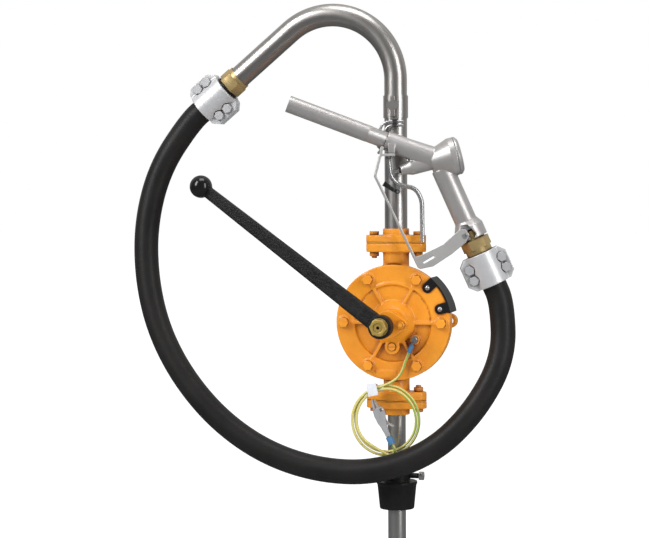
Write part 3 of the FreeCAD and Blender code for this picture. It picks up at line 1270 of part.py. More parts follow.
def nozzle_hook():
    """Round wire bent into a hook that passes behind the spout's socket and under it."""
    parts = []
    for z, reach in HOOK_WIRES:
        bend = HOOK_LEFT - reach
        points = [V(HOOK_RIGHT, HOOK_Y, z), V(bend, HOOK_Y, z),
                  V(bend - HOOK_FALL[0], HOOK_Y + 1.5, z - HOOK_FALL[1]),
                  V(HOOK_FOOT[0] - reach, HOOK_Y - 1, HOOK_FOOT[1] + reach)]
        parts.append(sweep(route_wire(points)[0], HOLDER_WIRE_R))
    foot = V(HOOK_FOOT[0], HOOK_Y - 1, HOOK_FOOT[1])
    cross = rod(HOLDER_WIRE_R, foot, V(HOOK_CROSS[0], HOOK_Y - 1, HOOK_CROSS[1]))
    toe = rod(HOLDER_WIRE_R, foot, V(HOOK_TOE[0], HOOK_Y - 1 + HOOK_TOE[1], HOOK_TOE[2]))
    return joined(parts + [cross, toe])


# ---------------------------------------------------------------- hose route
def hose_points():
    """The hose's route, with its straight ends inside the two clamps."""
    end, onward = upper_axis()
    start = end + onward * UPPER_HOSE_START
    grip_out = FreeCAD.Rotation(UP, NOZZLE_YAW).multVec(GRIP_WAY)
    last = on_grip(LOWER_HOSE_START)
    last = nozzle_point(last.x, last.z)
    return ([start, start + onward * HOSE_STRAIGHT] + [V(*point) for point in HOSE_ROUTE]
            + [last + grip_out * HOSE_STRAIGHT, last])


# ---------------------------------------------------------------- earth cable
def earth_point(distance):
    """Point on the axis of the terminal's barrel and its sleeve."""
    return V(EARTH_SCREW[0], TERMINAL_BARREL_Y, EARTH_SCREW[1]) + SLEEVE_WAY * distance


def earth_screw():
    x, z = EARTH_SCREW
    seat = EARTH_BOSS_Y - TERMINAL_T
    washer = rod_y(TERMINAL_R - 2 * FIT, seat - 1, seat, x, z)
    head = hex_bar(EARTH_HEX, V(x, seat - 0.5, z), V(x, seat - EARTH_HEAD_H, z))
    return joined([washer, head, rod_y(M5_R, seat - 1, COVER_BACK_Y - 3, x, z)])


def earth_terminal():
    """Ring terminal with its crimp barrel."""
    x, z = EARTH_SCREW
    face = EARTH_BOSS_Y - TERMINAL_T
    ring = rod_y(TERMINAL_R, face, EARTH_BOSS_Y, x, z)
    barrel = rod(TERMINAL_BARREL_R, *(earth_point(reach) for reach in TERMINAL_BARREL))
    washer_room = rod_y(TERMINAL_R - FIT, face - TERMINAL_R, face, x, z)
    return without(joined([ring, barrel]), [rod_y(M5_R + FIT, face - 1, EARTH_BOSS_Y + 1, x, z), washer_room])


def earth_sleeve():
    solid = rod(SLEEVE_R, *(earth_point(reach) for reach in SLEEVE_REACH))
    cuts = [rod(TERMINAL_BARREL_R + FIT, earth_point(0), earth_point(TERMINAL_BARREL[1] + FIT)),
            rod(CABLE_R + FIT, earth_point(LEAD_START - 0.5), earth_point(SLEEVE_REACH[1] + 1))]
    return without(solid, cuts)


def earth_lead():
    points = [earth_point(LEAD_START), earth_point(LEAD_STRAIGHT)] + [V(*point) for point in LEAD_ROUTE]
    return cord("earth lead", points, CABLE_R)


def earth_coil():
    print("earth coil: %.1f turns, about %.0f of cable" % (COIL_TURNS, COIL_TURNS * 2 * math.pi * COIL_R))
    return coil_ring(COIL_SECTION_R)


def coil_ring(section_r):
    return Part.makeTorus(COIL_R, section_r, V(COIL_CENTRE[0], COIL_Y, COIL_CENTRE[1]), DEPTH)


def coil_tag():
    """Tie around the coil with its flag."""
    x, z = polar(COIL_R, TAG_ANGLE, *COIL_CENTRE)
    way = V(-math.sin(math.radians(TAG_ANGLE)), 0, math.cos(math.radians(TAG_ANGLE)))
    middle = V(x, COIL_Y, z)
    band = rod(COIL_SECTION_R + TAG_BAND_T, middle - way * TAG_BAND_HALF, middle + way * TAG_BAND_HALF)
    band = band.cut(coil_ring(COIL_SECTION_R + SEAT))
    back = COIL_Y - COIL_SECTION_R - TAG_BAND_T / 2
    width, height = TAG_SIZE
    flag = box(x - width * 0.6, x + width * 0.4, back - TAG_T, back, z - height / 2, z + height / 2)
    return joined([band, turn_y(flag, TAG_LEAN, x, z)])


def in_clip(shape):
    result = turn_y(shape, CLIP_TILT)
    result.translate(V(CLIP_PIVOT[0], CLIP_Y, CLIP_PIVOT[1]))
    return result


def clip_fixed_jaw():
    """Left jaw with the crimp that holds the cable, drawn upright about its pivot."""
    half = CLIP_W / 2
    jaw = slab(CLIP_JAW, -half, half)
    cheeks = []
    for side in (-1, 1):
        y0, y1 = sorted((side * half, side * (half - CLIP_SHEET_T)))
        cheeks.append(slab(CLIP_CHEEK, y0, y1))
    body = joined([jaw, slab(CLIP_SHANK, -half, half)] + cheeks)
    return body.cut(rod_y(CLIP_PIN_R + FIT, -CLIP_W, CLIP_W))


def clip_moving_jaw():
    """Right jaw with its thumb lever."""
    half = CLIP_W / 2 - CLIP_SHEET_T - 4 * FIT
    return slab(CLIP_MOVING, -half, half).cut(rod_y(CLIP_PIN_R + FIT, -CLIP_W, CLIP_W))


def clip_pin():
    half = CLIP_W / 2 + 0.8
    return rod_y(CLIP_PIN_R, -half, half)


def clip_sleeve():
    """Blue sleeve over the clip's crimp."""
    body = rod_z(CLIP_SLEEVE_R, CLIP_SLEEVE_END, CLIP_SHANK_END - FIT, CLIP_CRIMP_X)
    return body.cut(rod_z(CABLE_R + FIT, CLIP_SLEEVE_END - 1, CLIP_SLEEVE_END + TAIL_IN + 1, CLIP_CRIMP_X))


def earth_tail():
    """Last stretch of cable, from the clip's sleeve down onto the coil."""
    tilt = math.radians(CLIP_TILT)
    down = V(math.sin(tilt), 0, -math.cos(tilt))
    across = V(math.cos(tilt), 0, math.sin(tilt))
    bend = V(CLIP_PIVOT[0], CLIP_Y, CLIP_PIVOT[1]) + across * CLIP_CRIMP_X + down * (TAIL_OUT - CLIP_SLEEVE_END)
    onward = (down * 2 + DEPTH).normalize()
    return cord("earth tail", [bend - down * (TAIL_IN + TAIL_OUT), bend, bend + onward * TAIL_END], CABLE_R)


# ---------------------------------------------------------------- write the pieces
os.makedirs("parts", exist_ok=True)
count = 0


def save(name, shape, lift=PUMP_Z):
    """Write one piece, lifted from the pump's frame to the part's frame."""
    global count
    placed = shape.copy()
    placed.translate(V(0, 0, lift))
    placed.exportStep("parts/%s.step" % name)
    count += 1
    solids = placed.Solids
    if not solids or not placed.isValid() or any(solid.Volume <= 0 for solid in solids):
        print("BAD %s: %d solids, valid %s" % (name, len(solids), placed.isValid()))


def small_screws():
    """Earth screw, rim guard screws and the nozzle guard's screw."""
    return Part.makeCompound([earth_screw()] + rim_guard_screws().Solids + [in_nozzle(guard_screw())])


def hinge_pins():
    """Pins of the suction flaps, the trigger and the earth clip."""
    return Part.makeCompound(suction_flap_pins().Solids + [in_nozzle(trigger_pin()), in_clip(clip_pin())])


def crimp_sleeves():
    """Blue sleeves at the two ends of the earth cable."""
    return Part.makeCompound([earth_sleeve(), in_clip(clip_sleeve())])


def flange_gaskets():
    return Part.makeCompound([flange_gasket(), below(flange_gasket())])


def flange_fasteners():
    upper = flange_bolts().Solids + flange_nuts().Solids
    return Part.makeCompound(upper + [below(piece) for piece in upper])


PUMP_PIECES = (
    pump_casing, front_cover, cover_gasket, cover_bolts, cover_plug, shaft_bushes, gland_packing,
    gland_follower, gland_fasteners, wing_rotor, discharge_flap_pins, valve_bridge, pump_shaft, pump_lever,
    lever_nut, discharge_pipe, suction_tube, flange_gaskets, flange_fasteners, rim_guard, holder_clamp,
    holder_block, nozzle_hook, earth_terminal, earth_lead, earth_coil, coil_tag, earth_tail, small_screws,
    hinge_pins, crimp_sleeves)
NOZZLE_PIECES = (
    nozzle_body, nozzle_spout, valve_cap, valve_spring, valve_stem, stem_seal, trigger, trigger_latch,
    latch_pin, trigger_guard)
CLIP_PIECES = (clip_fixed_jaw, clip_moving_jaw)
BUNG_PIECES = (bung_adapter, bung_seal, bung_clamp_screw)

for make in PUMP_PIECES:
    save(make.__name__, make())
for make in NOZZLE_PIECES:
    save(make.__name__, in_nozzle(make()))
for make in CLIP_PIECES:
    save(make.__name__, in_clip(make()))
for make in BUNG_PIECES:
    save(make.__name__, make(), lift=0.0)

for side in ("left", "right"):
    save("discharge_flap_" + side, discharge_flap(side))
    save("suction_flap_" + side, suction_flap(side))
save("upper_flange", mating_flange(OUTLET_PIPE_R))
save("lower_flange", below(mating_flange(SUCTION_R)))

upper_end, upper_way = upper_axis()
save("upper_hose_tail", along(upper_end, upper_way, upper_hose_tail()))
save("nozzle_hose_tail", along_grip(nozzle_hose_tail(), INLET_END))
upper_clamp_start = upper_end + upper_way * UPPER_CLAMP_START
for name, half in (("front", clamp_half(True)), ("rear", clamp_half(False))):
    save("upper_clamp_" + name, along(upper_clamp_start, upper_way, half))
    save("nozzle_clamp_" + name, along_grip(half, LOWER_CLAMP_START))
both = along(upper_clamp_start, upper_way, clamp_bolts()).Solids
both += along_grip(clamp_bolts(), LOWER_CLAMP_START).Solids
save("hose_clamp_bolts", Part.makeCompound(both))
save("hose", cord("hose", hose_points(), HOSE_R, HOSE_BORE_R))
print("%d nodes written" % count)
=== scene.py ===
# %% [markdown]
# # Rotary hand transfer pump
#
# This notebook dresses a hand pump for drums: an orange cast iron pump on a steel suction tube,
# with a long black lever, a gooseneck outlet, a rubber hose, an aluminium nozzle and a coiled
# earthing cable. The solids come from a fixed frame that is already in its right place and
# size. Here they get their looks, and the pieces that plain solids can't show are modelled.

import math

import bmesh
import bpy
from mathutils import Matrix, Vector
from mathutils.bvhtree import BVHTree


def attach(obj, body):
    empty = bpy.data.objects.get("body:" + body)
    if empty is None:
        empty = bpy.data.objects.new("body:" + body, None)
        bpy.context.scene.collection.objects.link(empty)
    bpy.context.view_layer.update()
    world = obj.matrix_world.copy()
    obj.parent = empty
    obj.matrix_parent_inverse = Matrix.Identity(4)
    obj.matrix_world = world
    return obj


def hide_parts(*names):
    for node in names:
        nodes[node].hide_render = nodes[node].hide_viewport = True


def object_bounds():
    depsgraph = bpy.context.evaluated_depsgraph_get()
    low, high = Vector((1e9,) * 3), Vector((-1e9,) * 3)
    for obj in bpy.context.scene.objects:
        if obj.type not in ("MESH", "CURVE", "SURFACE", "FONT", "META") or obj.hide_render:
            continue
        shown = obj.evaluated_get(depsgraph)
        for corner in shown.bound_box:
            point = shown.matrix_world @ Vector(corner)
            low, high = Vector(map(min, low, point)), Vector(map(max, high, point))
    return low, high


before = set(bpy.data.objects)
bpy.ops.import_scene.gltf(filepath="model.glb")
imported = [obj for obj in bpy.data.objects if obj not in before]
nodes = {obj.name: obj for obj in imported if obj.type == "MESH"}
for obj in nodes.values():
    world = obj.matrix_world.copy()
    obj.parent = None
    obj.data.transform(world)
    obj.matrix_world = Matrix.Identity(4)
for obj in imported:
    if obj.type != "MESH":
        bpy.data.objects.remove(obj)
cad_box = [list(corner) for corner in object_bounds()]

# %% [markdown]
# ## Units and the pump's own centre
#
# Blender counts in metres. A pump like this is dimensioned in millimetres from its shaft, so one
# small helper turns a point in millimetres from the shaft into a place in the scene.

# %% Millimetres from the shaft
MM = 0.001
SHAFT_HEIGHT = 239.0


def at(x, y, z):
    """Place in the scene of a point given in millimetres from the pump's shaft."""
    return Vector((x, y, z + SHAFT_HEIGHT)) * MM


print("shaft at", tuple(at(0, 0, 0)))

# %% [markdown]
# ## Camera
#
# The camera comes first, because it decides which sides need the most care. A long lens from
# three metres away keeps the upright tubes parallel. It stands a little to the right of the
# pump and above it, and it is turned so that the pump sits right of the middle, which leaves
# room for the hose's big loop. The camera's axes are built from three angles.

# %% Camera
CAMERA_DISTANCE = 2.95
CAMERA_SIDE = math.radians(12.0)
CAMERA_RISE = 0.217
CAMERA_PAN = math.radians(14.077)
CAMERA_DIP = math.radians(2.68)
CAMERA_ROLL = math.radians(-0.3)
SENSOR_WIDTH = 36.0
LENS = 109.83

camera_data = bpy.data.cameras.new("camera")
camera_data.sensor_width = SENSOR_WIDTH
camera_data.lens = LENS
camera = bpy.data.objects.new("camera", camera_data)
bpy.context.scene.collection.objects.link(camera)
look = Vector((-math.sin(CAMERA_PAN) * math.cos(CAMERA_DIP), math.cos(CAMERA_PAN) * math.cos(CAMERA_DIP),
               -math.sin(CAMERA_DIP)))
level = Vector((math.cos(CAMERA_PAN), math.sin(CAMERA_PAN), 0))
upward = level.cross(look)
right = level * math.cos(CAMERA_ROLL) + upward * math.sin(CAMERA_ROLL)
up = upward * math.cos(CAMERA_ROLL) - level * math.sin(CAMERA_ROLL)
stand = at(0, 0, 0) + Vector((CAMERA_DISTANCE * math.sin(CAMERA_SIDE),
                              -CAMERA_DISTANCE * math.cos(CAMERA_SIDE),
                              CAMERA_RISE))
axes = Matrix((right, up, -look)).transposed().to_4x4()
camera.matrix_world = Matrix.Translation(stand) @ axes
bpy.context.scene.camera = camera
print("camera at", tuple(round(v, 3) for v in stand))

# %% [markdown]
# ## Backdrop and light
#
# The pump stands before plain white, as in a catalogue. The white is the colour that the camera
# sees of the world, so no extra light falls on the metal for its sake. Polished tubes would
# look like plaster if the whole room were white, so what they mirror is a dim room that only
# grows paler behind the pump and above it. Large soft lamps at the left, the right and above
# add the long bright bands between the tubes' dark edges.

# %% Backdrop
FILL_STRENGTH = 0.62
FILL_COLOUR = (0.96, 0.98, 1.0, 1.0)
ROOM_DIM = (0.10, 0.097, 0.094, 1.0)
ROOM_PALE = (0.48, 0.475, 0.47, 1.0)
ROOM_SLOPE = 0.5
ROOM_PALE_FROM = 0.75
WHITE = (1.0, 1.0, 1.0, 1.0)
world = bpy.data.worlds.new("studio")
bpy.context.scene.world = world
world.use_nodes = True
sky = world.node_tree
sky.nodes.clear()
sky_out = sky.nodes.new("ShaderNodeOutputWorld")
sky_fill = sky.nodes.new("ShaderNodeBackground")
sky_fill.inputs["Color"].default_value = FILL_COLOUR
sky_fill.inputs["Strength"].default_value = FILL_STRENGTH
sky_seen = sky.nodes.new("ShaderNodeBackground")
sky_mirrored = sky.nodes.new("ShaderNodeBackground")
sky_way = sky.nodes.new("ShaderNodeTexCoord")
sky_split = sky.nodes.new("ShaderNodeSeparateXYZ")
sky_lift = sky.nodes.new("ShaderNodeMath")
sky_lift.operation = "MULTIPLY_ADD"
sky_lift.inputs[1].default_value = ROOM_SLOPE
sky_band = sky.nodes.new("ShaderNodeValToRGB")
sky_band.color_ramp.elements[0].position = 0.0
sky_band.color_ramp.elements[0].color = ROOM_DIM
sky_band.color_ramp.elements[1].position = ROOM_PALE_FROM
sky_band.color_ramp.elements[1].color = ROOM_PALE
sky_band.color_ramp.interpolation = "EASE"
sky.links.new(sky_way.outputs["Generated"], sky_split.inputs[0])
sky.links.new(sky_split.outputs["Z"], sky_lift.inputs[0])
sky.links.new(sky_split.outputs["Y"], sky_lift.inputs[2])
sky.links.new(sky_lift.outputs[0], sky_band.inputs["Fac"])
sky.links.new(sky_band.outputs["Color"], sky_mirrored.inputs["Color"])
sky_ray = sky.nodes.new("ShaderNodeLightPath")
sky_glossy = sky.nodes.new("ShaderNodeMixShader")
sky_camera = sky.nodes.new("ShaderNodeMixShader")
sky_either = sky.nodes.new("ShaderNodeMath")
sky_either.operation = "MAXIMUM"
sky.links.new(sky_ray.outputs["Is Glossy Ray"], sky_either.inputs[0])
sky.links.new(sky_ray.outputs["Is Transmission Ray"], sky_either.inputs[1])
sky.links.new(sky_either.outputs[0], sky_glossy.inputs[0])
sky.links.new(sky_fill.outputs[0], sky_glossy.inputs[1])
sky.links.new(sky_mirrored.outputs[0], sky_glossy.inputs[2])
sky.links.new(sky_ray.outputs["Is Camera Ray"], sky_camera.inputs[0])
sky.links.new(sky_glossy.outputs[0], sky_camera.inputs[1])
sky.links.new(sky_seen.outputs[0], sky_camera.inputs[2])
sky.links.new(sky_camera.outputs[0], sky_out.inputs["Surface"])
sky_seen.inputs["Color"].default_value = WHITE
bpy.context.scene.view_settings.view_transform = "Standard"
print("backdrop fill", FILL_STRENGTH)


# %% Lamps
def lamp(name, place, aim, size, power):
    """Soft rectangular lamp that looks at a point."""
    data = bpy.data.lights.new(name, "AREA")
    data.shape = "RECTANGLE"
    data.size, data.size_y = size
    data.energy = power
    thing = bpy.data.objects.new(name, data)
    bpy.context.scene.collection.objects.link(thing)
    thing.location = place
    thing.rotation_euler = (Vector(aim) - Vector(place)).to_track_quat("-Z", "Y").to_euler()
    return thing


lamp_aim = at(-90, 0, 60)
lamp("key_lamp", (-1.7, -1.9, 1.8), lamp_aim, size=(0.8, 1.8), power=50)
lamp("side_lamp", (1.9, -1.3, 0.9), lamp_aim, size=(0.5, 2.0), power=22)
lamp("top_lamp", (0.1, -0.4, 2.6), lamp_aim, size=(1.4, 1.0), power=20)

# %% [markdown]
# ## Floor
#
# The tube reaches 850 mm below the drum's bung, and the part stands on its foot on a pale floor.
# The camera sees a little of the floor's own glow, so that its lit part melts into the white
# backdrop while the pump's shadow stays. To mirrored rays the floor is nearly as dim as the room,
# since upright tubes would otherwise fill with its white.

# %% Floor
FLOOR_SIZE = 80.0
FLOOR_GLOW = 0.62
FLOOR_GAP = 0.0005
FLOOR_LIT = (0.85, 0.85, 0.85, 1.0)
FLOOR_MIRRORED = (0.14, 0.14, 0.14, 1.0)
floor_mesh = bpy.data.meshes.new("floor")
floor_form = bmesh.new()
bmesh.ops.create_grid(floor_form, x_segments=1, y_segments=1, size=FLOOR_SIZE / 2)
bmesh.ops.translate(floor_form, verts=floor_form.verts, vec=(0, 0, cad_box[0][2] - FLOOR_GAP))
floor_form.to_mesh(floor_mesh)
floor_form.free()
floor = bpy.data.objects.new("floor", floor_mesh)
bpy.context.scene.collection.objects.link(floor)
floor_paint = bpy.data.materials.new("floor_paint")
floor_paint.use_nodes = True
floor_tree = floor_paint.node_tree
floor_shader = floor_tree.nodes["Principled BSDF"]
floor_shader.inputs["Roughness"].default_value = 0.9
floor_shader.inputs["Emission Color"].default_value = WHITE
floor_ray = floor_tree.nodes.new("ShaderNodeLightPath")
floor_tone = floor_tree.nodes.new("ShaderNodeMix")
floor_tone.data_type = "RGBA"
for socket in floor_tone.inputs:
    if socket.type == "RGBA":
        socket.default_value = FLOOR_LIT if socket.name == "A" else FLOOR_MIRRORED
floor_tree.links.new(floor_ray.outputs["Is Glossy Ray"], floor_tone.inputs["Factor"])
floor_tree.links.new([s for s in floor_tone.outputs if s.type == "RGBA"][0],
                     floor_shader.inputs["Base Color"])
floor_seen = floor_tree.nodes.new("ShaderNodeMath")
floor_seen.operation = "MULTIPLY"
floor_seen.inputs[1].default_value = FLOOR_GLOW
floor_tree.links.new(floor_ray.outputs["Is Camera Ray"], floor_seen.inputs[0])
floor_tree.links.new(floor_seen.outputs[0], floor_shader.inputs["Emission Strength"])
floor_mesh.materials.append(floor_paint)
print("floor at", round(cad_box[0][2], 3))

# %% [markdown]
# ## The hose
#
# The hose is a stiff rubber tube, 37 mm across. It leaves the gooseneck's clamp along the pipe,
# swings out to the left, passes under the pump and comes back up into the nozzle's clamp. A
# curve made of a few control points gives the even sweep that a stiff hose takes, which a row
# of many points would not.

# %% A cord as one smooth curve
def smooth_route(name, points, radius):
    """Curve through a route's control points, as one smooth spline."""
    data = bpy.data.curves.new(name, "CURVE")
    data.dimensions = "3D"
    data.bevel_depth = radius
    data.bevel_resolution = 6
    data.resolution_u = 12
    data.use_fill_caps = True
    spline = data.splines.new("NURBS")
    spline.points.add(len(points) - 1)
    for control, point in zip(spline.points, points):
        control.co = (*point, 1.0)
    spline.order_u = 3
    spline.use_endpoint_u = True
    thing = bpy.data.objects.new(name, data)
    bpy.context.scene.collection.objects.link(thing)
    return thing


# %% Hose route
HOSE_RADIUS = 0.0185
PIPE_BEND_RADIUS = 98.0
PIPE_RISE = 359.5
PIPE_BEND = math.radians(130.0)
PIPE_TAIL = 104.0
outlet_way = Vector((-math.sin(PIPE_BEND), 0, math.cos(PIPE_BEND)))
outlet_end = (Vector((-PIPE_BEND_RADIUS, 0, PIPE_RISE))
              + Vector((math.cos(PIPE_BEND), 0, math.sin(PIPE_BEND))) * PIPE_BEND_RADIUS
              + outlet_way * PIPE_TAIL)
NOZZLE_TURN = math.radians(15.0)
NOZZLE_DEPTH = -38.0
GRIP_FALL = math.radians(66.0)
grip_top = Vector((83.0, 0, 212.0))
grip_way = Vector((math.cos(GRIP_FALL), 0, -math.sin(GRIP_FALL)))


def in_nozzle(point):
    """Point of the nozzle's own upright plane, in millimetres from the shaft."""
    turned = Matrix.Rotation(NOZZLE_TURN, 3, "Z") @ Vector(point)
    return turned + Vector((0, NOZZLE_DEPTH, 0))


def grip_point(distance):
    """Point on the grip's axis, in millimetres below its top."""
    return in_nozzle(grip_top + grip_way * distance)


HOSE_FROM_PIPE = 23.5
HOSE_FROM_GRIP = 118.8
CLAMP_HELD = 45.0
CLAMP_FREE = 80.0
hose_route = [outlet_end + outlet_way * (HOSE_FROM_PIPE + along) for along in (0, CLAMP_HELD, CLAMP_FREE)]
hose_route += [Vector(point) for point in (
    (-366, -8, 232), (-386, -18, 150), (-383, -28, 66), (-361, -38, -15), (-318, -47, -88),
    (-258, -53, -151), (-185, -57, -196), (-103, -58, -219), (-18, -58, -219), (64, -46, -188),
    (124, -26, -127), (163, -7, -50))]
hose_route += [grip_point(HOSE_FROM_GRIP + along) for along in (CLAMP_FREE, CLAMP_HELD, 0)]
hose = smooth_route("rubber_hose", [at(*point) for point in hose_route], HOSE_RADIUS)
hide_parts("hose")
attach(hose, "pump")
print("hose starts at", tuple(round(v, 3) for v in at(*hose_route[0])))

# %% [markdown]
# ## The earthing cable
#
# The cable is 4 mm thick and limp. It leaves the blue sleeve on the cover, falls to the tie at
# the top left of the coil, goes round almost two and a half times and ends in the blue sleeve of
# the spring clip. Hand-wound turns differ: the first is the widest, and it starts at the front
# and sinks behind the others, which are smaller and come forward again one after the other. So
# each turn is more points of the same curve, on circles whose size and depth change as they go
# round.

# %% Cable route
CABLE_RADIUS = 0.002
COIL_MIDDLE = Vector((-9.8, 0, -143.6))
TIE_ANGLE = 111.0
POINTS_A_TURN = 16
# each row: degrees round from the tie, radius, depth
COIL_WINDING = (
    (0, 50.0, -41.5), (69, 50.0, -40.0), (155, 53.0, -38.0), (249, 52.0, -36.0), (330, 53.5, -36.0),
    (360, 51.0, -36.5), (429, 45.5, -37.0), (519, 47.5, -38.0), (609, 48.0, -39.0), (690, 49.0, -39.5),
    (720, 45.5, -40.5), (789, 43.0, -41.5), (850, 43.0, -42.5))
WINDING_FROM = 6.0


def winding_at(degrees):
    """Radius and depth of the coil at an angle round from the tie."""
    for low, high in zip(COIL_WINDING, COIL_WINDING[1:]):
        if degrees <= high[0]:
            share = (degrees - low[0]) / (high[0] - low[0])
            return low[1] + (high[1] - low[1]) * share, low[2] + (high[2] - low[2]) * share
    return COIL_WINDING[-1][1:]


earth_screw = Vector((33.4, 0, -24.5))
sleeve_way = Vector((-5.5, 0, -12.5)).normalized()
SLEEVE_DEPTH = -30.8
SLEEVE_START = 13.5
SLEEVE_END = 31.0


def earth_point(distance):
    """Point on the cable's first sleeve, in millimetres from the earth screw."""
    point = earth_screw + sleeve_way * distance
    return Vector((point.x, SLEEVE_DEPTH, point.z))


cable_route = [earth_point(SLEEVE_START), earth_point(SLEEVE_END),
               Vector((14, -35.5, -77)), Vector((-2, -41, -89))]
step = 360.0 / POINTS_A_TURN
turned_by = WINDING_FROM
while turned_by < COIL_WINDING[-1][0]:
    radius, depth = winding_at(turned_by)
    angle = math.radians(TIE_ANGLE + turned_by)
    cable_route.append(COIL_MIDDLE + Vector((radius * math.cos(angle), depth, radius * math.sin(angle))))
    turned_by += step
print("cable has", len(cable_route), "points before its clip")

# %% [markdown]
# The cable's last stretch turns up out of the coil's bottom into the sleeve of the spring clip,
# in an arc a little wider than two cable diameters, the tightest a limp cable should take.

# %% Cable end
CLIP_TILT = math.radians(25.0)
clip_pivot = Vector((-10, -50, -146))
clip_down = Vector((math.sin(CLIP_TILT), 0, -math.cos(CLIP_TILT)))
clip_right = Vector((math.cos(CLIP_TILT), 0, math.sin(CLIP_TILT)))
SLEEVE_OFF = -0.8
SLEEVE_MOUTH = 36.0
TAIL_INSIDE = 7.0
sleeve_mouth = clip_pivot + clip_right * SLEEVE_OFF + clip_down * SLEEVE_MOUTH
END_ARC = 9.0
END_ARC_BELOW = 3.0
ARC_FIRST = -97.5
ARC_STEP = 35.0
ARC_DEPTHS = (-44.0, -45.5, -47.5, -49.0)
ARC_CORNER = END_ARC / math.cos(math.radians(ARC_STEP / 2))
arc_centre = sleeve_mouth + clip_down * END_ARC_BELOW - clip_right * END_ARC
for number, depth in enumerate(ARC_DEPTHS):
    corner = math.radians(ARC_FIRST + ARC_STEP * number)
    cable_route.append(Vector((arc_centre.x + ARC_CORNER * math.cos(corner), depth,
                               arc_centre.z + ARC_CORNER * math.sin(corner))))
cable_route += [sleeve_mouth, sleeve_mouth - clip_down * TAIL_INSIDE]
cable = smooth_route("earthing_cable", [at(*point) for point in cable_route], CABLE_RADIUS)
cable.data.bevel_resolution = 4
cable.data.resolution_u = 6
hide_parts("earth_lead", "earth_coil", "earth_tail")
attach(cable, "pump")
print("cable ends at", tuple(round(v, 3) for v in at(*cable_route[-1])))

# %% [markdown]
# ## How finishes are made
#
# Few real surfaces are one even colour. Each finish here mixes two colours by a soft pattern,
# varies its gloss, and raises a fine grain as bump. The two patterns, a fine one for the grain
# and a broad one for stains and drifts of colour, are made once in a node group, and every
# finish uses the group with its own scale and stretch.

# %% Surface pattern group
def new_group(name, inputs, outputs):
    """Empty shader group with float sockets, apart from one vector input called Place."""
    group = bpy.data.node_groups.new(name, "ShaderNodeTree")
    for label, value in inputs:
        kind = "NodeSocketVector" if label == "Place" else "NodeSocketFloat"
        socket = group.interface.new_socket(label, in_out="INPUT", socket_type=kind)
        if value is not None:
            socket.default_value = value
    for label in outputs:
        group.interface.new_socket(label, in_out="OUTPUT", socket_type="NodeSocketFloat")
    return group, group.nodes.new("NodeGroupInput"), group.nodes.new("NodeGroupOutput")


def noise(tree, place, scale, detail, roughness=0.5):
    """Noise texture read at a place; the scale is a number or a socket."""
    node = tree.nodes.new("ShaderNodeTexNoise")
    node.inputs["Detail"].default_value = detail
    node.inputs["Roughness"].default_value = roughness
    tree.links.new(place, node.inputs["Vector"])
    if isinstance(scale, (int, float)):
        node.inputs["Scale"].default_value = scale
    else:
        tree.links.new(scale, node.inputs["Scale"])
    return node.outputs["Fac"]


def remap(tree, value, low, high, to_low=0.0, to_high=1.0):
    """Value between low and high stretched to another range, and kept inside it."""
    node = tree.nodes.new("ShaderNodeMapRange")
    node.inputs["From Min"].default_value = low
    node.inputs["From Max"].default_value = high
    node.inputs["To Min"].default_value = to_low
    node.inputs["To Max"].default_value = to_high
    tree.links.new(value, node.inputs["Value"])
    return node.outputs["Result"]


grain_group, grain_in, grain_out = new_group(
    "surface_pattern", (("Place", None), ("Grain Scale", 900.0), ("Drift Scale", 25.0)), ("Grain", "Drift"))
fine = noise(grain_group, grain_in.outputs["Place"], grain_in.outputs["Grain Scale"], 3.0, 0.6)
broad = noise(grain_group, grain_in.outputs["Place"], grain_in.outputs["Drift Scale"], 5.0, 0.55)
grain_group.links.new(remap(grain_group, fine, 0.25, 0.75), grain_out.inputs["Grain"])
grain_group.links.new(remap(grain_group, broad, 0.3, 0.7), grain_out.inputs["Drift"])
print("group:", grain_group.name)

# %% [markdown]
# Corners tell a surface's age and how it was made: paint is thinner and brighter there, and cast
# or blasted metal is rubbed smooth. On the enamel's ribs the lighter edge is also a painted
# highlight. Comparing the true normal with one that is averaged over a small radius finds those
# corners without any painting by hand. Where two surfaces meet in a hollow, less light gets in:
# the ambient occlusion node finds that, and a darker colour is painted there as painted shade.

# %% Edge and painted hollow shade group
EDGE_FROM = 0.995
EDGE_FULL = 0.8
SHADE_REACH = 0.016
SHADE_FROM = 0.84
SHADE_FULL = 0.30
edge_and_shade_group, edge_and_shade_in, edge_and_shade_out = new_group("edges_and_hollow_shade", (("Reach", 0.002),), ("Edge", "Hollow Shade"))
rounded_normal = edge_and_shade_group.nodes.new("ShaderNodeBevel")
rounded_normal.samples = 6
true_normal = edge_and_shade_group.nodes.new("ShaderNodeNewGeometry")
sameness = edge_and_shade_group.nodes.new("ShaderNodeVectorMath")
sameness.operation = "DOT_PRODUCT"
edge_and_shade_group.links.new(edge_and_shade_in.outputs["Reach"], rounded_normal.inputs["Radius"])
edge_and_shade_group.links.new(rounded_normal.outputs["Normal"], sameness.inputs[0])
edge_and_shade_group.links.new(true_normal.outputs["Normal"], sameness.inputs[1])
edge_mask = remap(edge_and_shade_group, sameness.outputs["Value"], EDGE_FROM, EDGE_FULL)
edge_and_shade_group.links.new(edge_mask, edge_and_shade_out.inputs["Edge"])
# The ambient occlusion marks the hollows, where a darker colour is painted as painted shade.
shade = edge_and_shade_group.nodes.new("ShaderNodeAmbientOcclusion")
shade.samples = 6
shade.inputs["Distance"].default_value = SHADE_REACH
hollow_shade_mask = remap(edge_and_shade_group, shade.outputs["AO"], SHADE_FROM, SHADE_FULL)
edge_and_shade_group.links.new(hollow_shade_mask, edge_and_shade_out.inputs["Hollow Shade"])
print("group:", edge_and_shade_group.name)


# %% One finish
COAT_ROUGHNESS = 0.15


